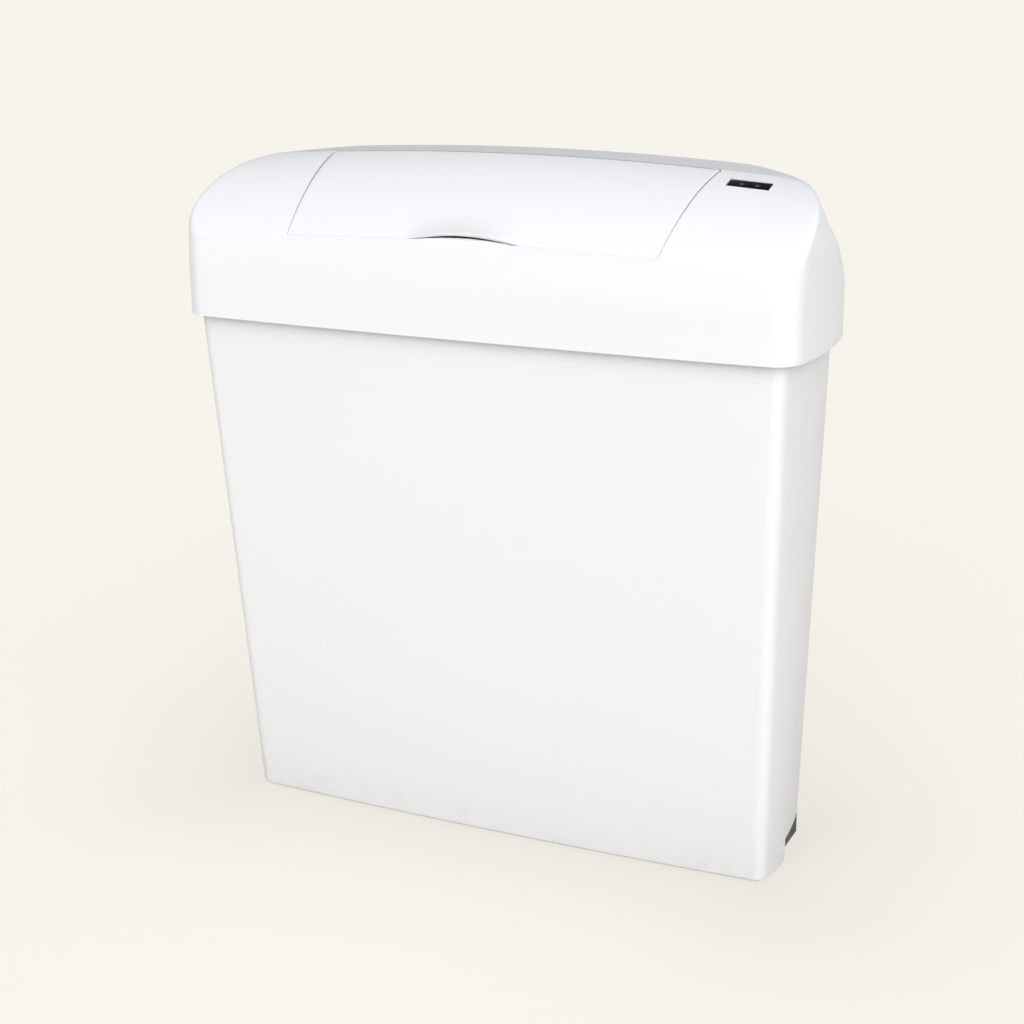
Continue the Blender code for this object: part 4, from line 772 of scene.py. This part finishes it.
def makeFlapWebs():
    size = webSizes
    steps = size["steps"]
    shares = [size["low"] + (size["high"] - size["low"]) * step / steps for step in range(steps + 1)]
    upper = [skinUnder(share, size["x"], size["bite"]) for share in shares]
    lower = [skinUnder(share, size["x"], size["depth"]) for share in shares[:steps // 2]]
    turns = [math.radians(angle) for angle in range(size["bossFrom"], 1, size["bossTurn"])]
    lower += [(size["axisY"] + size["bossRadius"] * math.cos(angle),
               size["axisZ"] + size["bossRadius"] * math.sin(angle)) for angle in turns]
    webs = []
    for side in (-1, 1):
        half = size["thickness"] / 2
        web = makePlate("web", lower + upper[::-1], side * size["x"] - half, side * size["x"] + half)
        bore = makeRod("bore", -size["boreReach"], size["boreReach"], size["bore"], "X",
                       (side * size["x"], size["axisY"], size["axisZ"]), size["boreSteps"])
        cut(web, bore)
        soften(web, size["edge"], steepAngle)
        webs.append(settle(web, spare=(bore,)))
        ends = sorted((side * size["x"], side * size["bossEnd"]))
        ring = [(ends[0], size["bore"]), (ends[0], size["bossRadius"]), (ends[1], size["bossRadius"]),
                (ends[1], size["bore"]), (ends[0], size["bore"])]
        boss = makeTurned("boss", ring, "X", (0, size["axisY"], size["axisZ"]), size["bossSteps"])
        webs.append(settle(boss))
    return webs


def makeFlap():
    size = flapSizes
    rows = flapSkin((0.0, 0.0), 0.0, -size["rearSeam"], size["scoopLift"])
    flap = makeLoft("flapPanel", rows, closed=False)
    wall(flap, hoodSizes["wall"])
    soften(flap, size["edge"], steepAngle)
    flap = settle(flap)
    joinInto(flap, makeFlapWebs())
    return dress(flap, "hood", "flap", ["flap"])


makeHood()
makeFlap()
print("hood and flap made")


# Geometry trees

def openRule(name, values):  # a geometry tree with one named input per value
    group = bpy.data.node_groups.new(name, "GeometryNodeTree")
    group.interface.new_socket("Geometry", in_out="INPUT", socket_type="NodeSocketGeometry")
    for label, value in values.items():
        kind = "NodeSocketInt" if isinstance(value, int) else "NodeSocketFloat"
        group.interface.new_socket(label, in_out="INPUT", socket_type=kind)
    group.interface.new_socket("Finish", in_out="INPUT", socket_type="NodeSocketMaterial")
    group.interface.new_socket("Geometry", in_out="OUTPUT", socket_type="NodeSocketGeometry")
    tree = NodeTree(group)
    given = tree.add("NodeGroupInput")
    return tree, {label: given.out(label) for label in ("Geometry", *values, "Finish")}


def joinWires(tree, wires):
    joined = tree.add("GeometryNodeJoinGeometry")
    for wire in wires:
        tree.tree.links.new(wire.socket, joined.socket.node.inputs[0])
    return joined


def shiftUp(tree, geometry, height):
    offset = tree.add("ShaderNodeCombineXYZ", None, {"Z": height})
    return tree.add("GeometryNodeTransform", None, {"Geometry": geometry, "Translation": offset})


def closeRule(tree, geometry, finish):
    real = tree.add("GeometryNodeRealizeInstances", None, {"Geometry": geometry})
    done = tree.add("GeometryNodeSetMaterial", None, {"Geometry": real, "Material": finish})
    result = tree.tree.nodes.new("NodeGroupOutput")
    tree.tree.links.new(done.socket, result.inputs["Geometry"])
    return tree.tree


def setInputs(change, values):
    for socket in change.node_group.interface.items_tree:
        if socket.item_type == "SOCKET" and socket.in_out == "INPUT" and socket.name in values:
            change[socket.identifier] = values[socket.name]


# Bin body: a tapered, bowed box whose rule is a node tree

bodySizes = {
    "Half Width": 0.2312, "Half Depth": 0.0675, "Side Taper": 0.0132, "Front": -0.0549,
    "Front Taper": 0.0284, "Rear": 0.0631, "Rear Taper": 0.0016, "Floor": 0.001, "Chamfer": 0.0015,
    "Notch Height": 0.020, "Notch Rise": 0.0003, "Notch Lip": 0.002, "Notch Depth": 0.0500, "Lip": 0.3925,
    "Rim": 0.404,
    "Front Corner": 0.008, "Rear Corner": 0.010, "Front Bow": 0.0049, "Side Bow": 0.0077,
    "Corner Share": 0.14, "Around": 560, "Levels": 26,
}
bodyLook = {"wall": 0.0025, "edge": 0.0005, "hingeHalf": 0.165, "hingeDepth": 0.002, "gapRear": 0.09,
            "gapTop": 0.45, "padX": 0.180, "padY": -0.008, "pocketRadius": 0.0083, "pocketDepth": 0.003,
            "pocketLow": -0.01}


def makeBodyRule():
    tree, size = openRule("taperedBin", bodySizes)
    outline = tree.add("GeometryNodeCurvePrimitiveQuadrilateral", {"mode": "RECTANGLE"},
                       {"Width": size["Half Width"] * 2, "Height": size["Rear"] - size["Front"]})
    spot = tree.add("ShaderNodeSeparateXYZ", None, {0: tree.add("GeometryNodeInputPosition")})
    radius = size["Front Corner"] + (size["Rear Corner"] - size["Front Corner"]) * (spot.out("Y") > 0.0)
    rounded = tree.add("GeometryNodeFilletCurve", {"mode": "POLY"},
                       {"Curve": outline, "Count": 10, "Radius": radius})
    grid = tree.add("GeometryNodeMeshGrid", None,
                    {"Size X": 1.0, "Size Y": 1.0, "Vertices X": size["Around"] + 1,
                     "Vertices Y": size["Levels"]})
    share = spot.out("X") + 0.5
    level = (spot.out("Y") + 0.5) * (size["Levels"] - 1.0)
    picked = tree.add("GeometryNodeSampleCurve", {"mode": "FACTOR"},
                      {"Curves": rounded, "Factor": share}, "Position")
    plan = tree.add("ShaderNodeSeparateXYZ", None, {0: picked})

    def past(number):  # 1 from that level up
        return level > number - 0.5

    shelf = size["Notch Height"] + size["Notch Rise"]
    climb = ((level - 5.0) / (size["Levels"] - 7.0)).most(0.0)  # five levels lie below the climb
    height = size["Floor"] + size["Chamfer"] * past(2)
    height = height + (size["Notch Height"] - size["Floor"] - size["Chamfer"]) * past(3)
    height = height + size["Notch Rise"] * past(4) + size["Notch Lip"] * past(5)
    height = height + (size["Rim"] - shelf - size["Notch Lip"]) * climb.least(1.0)
    low = 1.0 - height / size["Lip"]
    inset = size["Chamfer"] * (1.0 - past(2))
    width = size["Half Width"] - size["Side Taper"] * low - inset
    front = size["Front"] + size["Front Taper"] * low + inset
    baseRear = size["Rear"] + size["Rear Taper"]
    notched = baseRear - size["Notch Depth"] - inset
    full = size["Rear"] + size["Rear Taper"] * low
    shelfRear = baseRear - size["Notch Lip"]
    rear = notched + (shelfRear - notched) * past(4) + (full - shelfRear) * past(5)
    along = plan.out("Y") / (size["Rear"] - size["Front"]) + 0.5
    planX = plan.out("X") / size["Half Width"]
    behind = ((along - size["Corner Share"]) / (1.0 - size["Corner Share"])).most(0.0)
    planY = front + (full - front) * along - (full - rear) * behind  # the recess only shortens the sides
    middle = (front + full) / 2
    near = ((middle - planY) / (middle - front)).clamped()
    bowedY = planY - size["Front Bow"] * (1.0 - planX * planX) * near
    ringY = planY - size["Front Taper"] * low * near
    drawnIn = size["Side Bow"] * (ringY / size["Half Depth"]) ** 2.0 * abs(planX) ** 4.0
    side = plan.out("X").maths("SIGN", plan.out("X"))
    placeX = planX * width - side * drawnIn
    spread = past(1)  # the lowest row closes the floor
    placeY = bowedY * spread + (front + rear) / 2 * (1.0 - spread)
    place = tree.add("ShaderNodeCombineXYZ", None, {"X": placeX * spread, "Y": placeY, "Z": height})
    shaped = tree.add("GeometryNodeSetPosition", None, {"Geometry": grid, "Position": place})
    merged = tree.add("GeometryNodeMergeByDistance", None, {"Geometry": shaped, "Distance": 0.00001})
    return closeRule(tree, merged, size["Finish"])


def makeBody():
    size, look = bodySizes, bodyLook
    body = makePiece("binBody", [(0, 0, 0)], [])
    rule = body.modifiers.new("rule", "NODES")
    rule.node_group = makeBodyRule()
    setInputs(rule, {**size, "Finish": finishes["body"]})
    wall(body, look["wall"])
    innerRear = size["Rear"] - look["wall"]
    gap = makeBlock("gap", (-look["hingeHalf"], innerRear - look["hingeDepth"], size["Lip"]),
                    (look["hingeHalf"], look["gapRear"], look["gapTop"]))
    cut(body, gap)
    spare = [gap]
    for side in (-1, 1):
        place = (side * look["padX"], look["padY"], 0)
        pocket = makeRod("pocket", look["pocketLow"], look["pocketDepth"], look["pocketRadius"], "Z", place)
        cut(body, pocket)
        spare.append(pocket)
    soften(body, look["edge"], steepAngle)
    body = settle(body, spare=spare)
    return dress(body, "body", "base", ["bin_body"])


makeBody()
print("bin body made")


# The smaller pieces keep their form and get rounded edges

refined = {  # node: (finish, slot, rounding)
    "liner_ring": ("ring", "ring_plastic", 0.0004),
    "chassis_plate": ("chassis", "chassis_plastic", 0.0004),
    "front_pad_left": ("rubber", "rubber", 0.0005),
    "front_pad_right": ("rubber", "rubber", 0.0005),
    "hinge_body_leaf_left": ("hinge", "hinge_steel", 0.0002),
    "hinge_body_leaf_right": ("hinge", "hinge_steel", 0.0002),
    "hinge_hood_leaf_left": ("hinge", "hinge_steel", 0.0002),
    "hinge_hood_leaf_right": ("hinge", "hinge_steel", 0.0002),
    "pivot_bracket_left": ("bracket", "bracket_plastic", 0.0004),
    "pivot_bracket_right": ("bracket", "bracket_plastic", 0.0004),
    "motor_plate": ("hinge", "motor_steel", 0.0003),
    "flap_sector_gear": ("gear", "gear_plastic", 0.00015),
    "drive_pinion": ("gear", "gear_plastic", 0.00015),
    "tray_sector_gear": ("gear", "gear_plastic", 0.00015),
    "modesty_tray": ("tray", "tray_plastic", 0.0005),
    "sensor_window": ("gloss", "sensor_gloss", 0.0003),
    "sensor_board": ("board", "circuit_board", 0.0001),
    "control_board": ("board", "circuit_board", 0.0001),
    "battery_box": ("battery", "battery_plastic", 0.0005),
    "battery_door": ("battery", "battery_plastic", 0.0004),
    "battery_contact_outer": ("contact", "contact_steel", 0.0001),
    "battery_contact_inner": ("contact", "contact_steel", 0.0001),
    "switch_housing": ("switch", "switch_plastic", 0.0003),
    "switch_knob": ("knob", "switch_knob", 0.0004),
    "odour_cartridge": ("cartridge", "cartridge_plastic", 0.0002),
    "gearbox_housing": ("gearbox", "gearbox_plastic", 0.0006),
    "motor_can": ("motor", "motor_steel", 0.0006),
    "ir_emitter": ("lens", "lens_smoke", 0.0008),
    "ir_receiver": ("lens", "lens_smoke", 0.0008),
    "battery_cable": ("cable", "cable_jacket", 0.0),
}
for pin in ("hinge_pin_left", "hinge_pin_right", "battery_door_pin", "output_shaft", "flap_pin_left",
            "flap_shaft_right", "tray_pin_left", "tray_shaft_right"):
    refined[pin] = ("pin", "pin_steel", 0.0003)


refineSizes = {"merge": 0.000004, "flat": 0.6, "edgeAngle": 40}  # metres and degrees


def refine(node, finish, rounding):
    mesh = nodes[node].data.copy()
    shape = bmesh.new()
    shape.from_mesh(mesh)
    bmesh.ops.remove_doubles(shape, verts=shape.verts, dist=refineSizes["merge"])
    bmesh.ops.dissolve_limit(shape, angle_limit=math.radians(refineSizes["flat"]), verts=shape.verts,
                             edges=shape.edges)
    shape.to_mesh(mesh)
    shape.free()
    item = bpy.data.objects.new(f"{node}_finished", mesh)
    scene.collection.objects.link(item)
    if rounding > 0:
        soften(item, rounding, refineSizes["edgeAngle"])
    item = settle(item)
    return dress(item, finish, nodes[node]["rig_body"], [node])


for node, (finish, slotName, rounding) in refined.items():
    refine(node, finish, rounding)
print("smaller pieces refined:", len(refined))


footSizes = {"inner": 0.168, "outer": 0.2112, "front": 0.0150, "rear": 0.0646, "top": 0.0199, "edge": 0.0008}


def makeFoot(node, side):  # fills the recess at the rear of the body
    size = footSizes
    ends = sorted((side * size["inner"], side * size["outer"]))
    foot = makeBlock(f"{node}_finished", (ends[0], size["front"], 0), (ends[1], size["rear"], size["top"]))
    soften(foot, size["edge"])
    return dress(settle(foot), "rubber", nodes[node]["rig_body"], [node])


makeFoot("rear_foot_left", -1)
makeFoot("rear_foot_right", 1)
print("rear feet made")


# What repeats: chassis screws and the parts on the circuit board

screwSizes = {
    "Head Radius": 0.0029, "Head Height": 0.0014, "Shank Radius": 0.00145, "Length": 0.0065,
    "Slot Length": 0.0038, "Slot Width": 0.0007, "Slot Depth": 0.0011, "Thread": 0.00022, "Turns": 7.0,
    "Thread Share": 0.9, "Thread Low": -0.96,
}
boardSizes = {
    "Size X": 0.038, "Size Y": 0.042, "Columns": 7, "Rows": 8, "Share": 0.55, "Seed": 4,
    "Pin Pitch": 0.00254, "Pins": 8, "Pin Radius": 0.0004, "Pin Height": 0.0045,
}
boardBlocks = [  # length, width, height, share of the places
    (0.0020, 0.0012, 0.0008, 1.0), (0.0046, 0.0038, 0.0016, 0.30), (0.0030, 0.0026, 0.0022, 0.25),
]
boardLook = {"canRadius": 0.0024, "canHeight": 0.0044, "canPlace": (0.010, 0.0225, 0.0),
             "canStep": (-0.0062, 0.0, 0.0), "pinPlace": (-0.009, -0.0235, 0.0)}


def makeScrewRule():  # the points are the undersides of the heads
    tree, size = openRule("crossScrews", screwSizes)
    head = tree.add("GeometryNodeMeshCylinder", None,
                    {"Vertices": 40, "Radius": size["Head Radius"], "Depth": size["Head Height"]})
    slots = []
    for turned in (False, True):
        across = {"X": size["Slot Width"], "Y": size["Slot Length"]} if turned else \
                 {"X": size["Slot Length"], "Y": size["Slot Width"]}
        block = tree.add("ShaderNodeCombineXYZ", None, {**across, "Z": size["Slot Depth"] * 2})
        slots.append(tree.add("GeometryNodeMeshCube", None, {"Size": block}))
    for slot in slots:
        raised = shiftUp(tree, slot, size["Head Height"] / 2)
        head = tree.add("GeometryNodeMeshBoolean", {"operation": "DIFFERENCE", "solver": "EXACT"},
                        {"Mesh 1": head, "Mesh 2": raised})
    head = shiftUp(tree, head, size["Head Height"] / 2)
    shank = tree.add("GeometryNodeMeshCylinder", None,
                     {"Vertices": 32, "Radius": size["Shank Radius"], "Depth": size["Length"]})
    shank = shiftUp(tree, shank, size["Length"] * -0.5)
    spiral = tree.add("GeometryNodeCurveSpiral", None,
                      {"Resolution": 32, "Rotations": size["Turns"], "Start Radius": size["Shank Radius"],
                       "End Radius": size["Shank Radius"], "Height": size["Length"] * size["Thread Share"]})
    outline = tree.add("GeometryNodeCurvePrimitiveCircle", None, {"Resolution": 6, "Radius": size["Thread"]})
    thread = tree.add("GeometryNodeCurveToMesh", None,
                      {"Curve": spiral, "Profile Curve": outline, "Fill Caps": True})
    thread = shiftUp(tree, thread, size["Length"] * size["Thread Low"])
    screw = joinWires(tree, (head, shank, thread))
    placed = tree.add("GeometryNodeInstanceOnPoints", None, {"Points": size["Geometry"], "Instance": screw})
    return closeRule(tree, placed, size["Finish"])


def makeBoardRule():  # the one point is the middle of the board's upper face
    tree, size = openRule("boardParts", boardSizes)
    grid = tree.add("GeometryNodeMeshGrid", None,
                    {"Size X": size["Size X"], "Size Y": size["Size Y"], "Vertices X": size["Columns"],
                     "Vertices Y": size["Rows"]})
    parts = []
    for step, (length, width, height, share) in enumerate(boardBlocks):
        chosen = tree.add("FunctionNodeRandomValue", {"data_type": "BOOLEAN"},
                          {"Probability": size["Share"] * share, "Seed": size["Seed"] + float(step)}, "Value")
        cube = tree.add("GeometryNodeMeshCube", None, {"Size": (length, width, height)})
        cube = shiftUp(tree, cube, height / 2)
        parts.append(tree.add("GeometryNodeInstanceOnPoints", None,
                              {"Points": grid, "Instance": cube, "Selection": chosen}))
    can = tree.add("GeometryNodeMeshCylinder", None,
                   {"Vertices": 36, "Radius": boardLook["canRadius"], "Depth": boardLook["canHeight"]})
    line = tree.add("GeometryNodeMeshLine", None,
                    {"Count": size["Pins"], "Start Location": boardLook["pinPlace"],
                     "Offset": tree.add("ShaderNodeCombineXYZ", None, {"X": size["Pin Pitch"]})})
    pin = tree.add("GeometryNodeMeshCylinder", None,
                   {"Vertices": 12, "Radius": size["Pin Radius"], "Depth": size["Pin Height"]})
    pin = shiftUp(tree, pin, size["Pin Height"] / 2)
    parts.append(tree.add("GeometryNodeInstanceOnPoints", None, {"Points": line, "Instance": pin}))
    spots = tree.add("GeometryNodeMeshLine", None,
                     {"Count": 2, "Start Location": boardLook["canPlace"], "Offset": boardLook["canStep"]})
    can = shiftUp(tree, can, boardLook["canHeight"] / 2)
    parts.append(tree.add("GeometryNodeInstanceOnPoints", None, {"Points": spots, "Instance": can}))
    placed = tree.add("GeometryNodeInstanceOnPoints", None,
                      {"Points": size["Geometry"], "Instance": joinWires(tree, parts)})
    return closeRule(tree, placed, size["Finish"])


def makeRepeated(name, places, rule, values, finish, replaced=()):
    item = makePiece(name, places, [])
    change = item.modifiers.new("rule", "NODES")
    change.node_group = rule
    setInputs(change, {**values, "Finish": finishes[finish]})
    item = settle(item)
    turnOut(item)
    return dress(item, finish, "hood", replaced)


def topMiddle(node, below=0.0):
    low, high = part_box(node)
    return (low[0] + high[0]) / 2, (low[1] + high[1]) / 2, high[2] - below


screwNames = [f"chassis_screw_{index}" for index in range(1, 7)]
screwPlaces = [topMiddle(node, screwSizes["Head Height"]) for node in screwNames]
makeRepeated("chassisScrews", screwPlaces, makeScrewRule(), screwSizes, "screw", screwNames)
makeRepeated("boardParts", [topMiddle("control_board")], makeBoardRule(), boardSizes, "component")


def makeCells():
    size = cellSizes
    for index in range(1, 5):
        node = f"battery_cell_{index}"
        low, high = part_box(node)
        start, end = low[0], high[0]
        radius, soft, dish = (high[2] - low[2]) / 2, size["round"], size["dish"]
        shoulder = end - size["cap"]
        outline = [(start, 0), (start, radius * size["dishInner"]),
                   (start + dish, radius * size["dishOuter"]), (start + dish, radius - soft),
                   (start + soft, radius), (shoulder - soft, radius),
                   (shoulder, radius - soft), (shoulder - size["capStep"], radius * size["dishInner"]),
                   (shoulder - size["capStep"], radius * size["neck"]), (end - dish, radius * size["tip"]),
                   (end, radius * size["tipEnd"]), (end, 0)]
        centre = (0, (low[1] + high[1]) / 2, (low[2] + high[2]) / 2)
        cell = makeTurned(f"{node}_turned", outline, "X", centre, size["steps"])
        dress(settle(cell), "cell", "hood", [node])


makeCells()
print("screws, board parts and cells made")


# Stage, lamps and camera

stageSizes = {
    "floorHalf": 40.0, "level": -0.0001, "floorTone": (0.64, 0.62, 0.57), "mottle": 0.995,
    "glow": (1.0, 0.965, 0.885), "glowStrength": 1.22, "glowShare": 0.6,
    # this row sizes the painted shadow that darkens the floor round the bin's footprint
    "shadowX": 0.205, "shadowY": 0.045, "middleY": 0.018, "shadowReach": 0.42, "shadowWeight": 0.62, "shadowPower": 3.0,
}
lamps = {  # direction it shines from, softness in degrees, strength, colour
    "key": ((0.16, -1.0, 0.70), 60.0, 1.46, (0.985, 0.99, 1.0)),
    "side": ((0.98, -0.66, 0.45), 70.0, 1.42, (0.985, 0.99, 1.0)),
}
sky = {"tone": (0.97, 0.98, 1.0), "strength": 0.46, "right": 0.05, "rear": -0.15, "up": -0.13}
cameraSizes = {"place": (0.5822, -1.1942, 0.6607), "yaw": 24.16, "pitch": 17.54, "roll": -0.24,
               "lens": 65.67, "shiftX": -0.0525, "shiftY": 0.0109}


def makeFloor():
    half = stageSizes["floorHalf"]
    ring = ((-half, -half), (half, -half), (half, half), (-half, half))
    floor = makePiece("floor", [(x, y, stageSizes["level"]) for x, y in ring], [(0, 1, 2, 3)])
    finish = Finish("floorPaper", 0.9, 0.0, {"Specular IOR Level": 0.1})
    mottle = finish.noise(finish.place, 3.0, 2.0)
    tone = stageSizes["floorTone"]
    # painted shadow: the floor's colour darkens towards black near the bin's footprint and fades out further
    # away
    offX = (abs(finish.axes.out("X")) - stageSizes["shadowX"]).most(0.0)
    offY = (abs(finish.axes.out("Y") - stageSizes["middleY"]) - stageSizes["shadowY"]).most(0.0)
    away = (offX * offX + offY * offY) ** 0.5
    near = (1.0 - away / stageSizes["shadowReach"]).clamped() ** stageSizes["shadowPower"]
    colour = finish.mix(mottle, tone, tuple(value * stageSizes["mottle"] for value in tone))
    finish.paint(finish.mix(near * stageSizes["shadowWeight"], colour, (0.0, 0.0, 0.0)))
    path = finish.add("ShaderNodeLightPath")
    seen = (path.out("Is Camera Ray") + path.out("Is Glossy Ray") + path.out("Is Transmission Ray")).clamped()
    glow = finish.add("ShaderNodeEmission", None,
                      {"Color": (*stageSizes["glow"], 1.0), "Strength": stageSizes["glowStrength"]})
    both = finish.add("ShaderNodeMixShader", None,
                      {0: seen * stageSizes["glowShare"], 1: Wire(finish, finish.shader.outputs[0]), 2: glow})
    finish.feed(finish.tree.nodes["Material Output"].inputs["Surface"], both)
    floor.data.materials.append(finish.material)


def makeLamps():
    for name, (source, softness, strength, colour) in lamps.items():
        light = bpy.data.lights.new(name, "SUN")
        light.angle = math.radians(softness)
        light.energy = strength
        light.color = colour
        item = bpy.data.objects.new(name, light)
        scene.collection.objects.link(item)
        item.location = Vector(source).normalized() * 3
        item.rotation_euler = Vector(source).to_track_quat("Z", "Y").to_euler()
    world = bpy.data.worlds.new("room")
    world.use_nodes = True
    tree = NodeTree(world.node_tree)
    shade = world.node_tree.nodes["Background"]
    shade.inputs["Color"].default_value = (*sky["tone"], 1.0)
    toward = tree.add("ShaderNodeSeparateXYZ", None, {0: tree.add("ShaderNodeTexCoord", output="Generated")})
    tree.feed(shade.inputs["Strength"], toward.out("X") * sky["right"] + toward.out("Y") * sky["rear"]
              + toward.out("Z").most(0.0) * sky["up"] + sky["strength"])
    scene.world = world


def makeCamera():
    yaw, pitch, roll = (math.radians(cameraSizes[name]) for name in ("yaw", "pitch", "roll"))
    ahead = Vector((-math.sin(yaw) * math.cos(pitch), math.cos(yaw) * math.cos(pitch), -math.sin(pitch)))
    right = Vector((math.cos(yaw), math.sin(yaw), 0))
    up = right.cross(ahead)
    turnedRight = right * math.cos(roll) + up * math.sin(roll)
    turnedUp = up * math.cos(roll) - right * math.sin(roll)
    camera = bpy.data.cameras.new("photoCamera")
    camera.lens = cameraSizes["lens"]
    camera.sensor_width = 36.0
    camera.shift_x = cameraSizes["shiftX"]
    camera.shift_y = cameraSizes["shiftY"]
    item = bpy.data.objects.new("photoCamera", camera)
    scene.collection.objects.link(item)
    axes = Matrix((turnedRight, turnedUp, -ahead)).transposed()
    item.matrix_world = Matrix.Translation(cameraSizes["place"]) @ axes.to_4x4()
    scene.camera = item


makeFloor()
makeLamps()
makeCamera()
print("stage, lamps and camera placed")
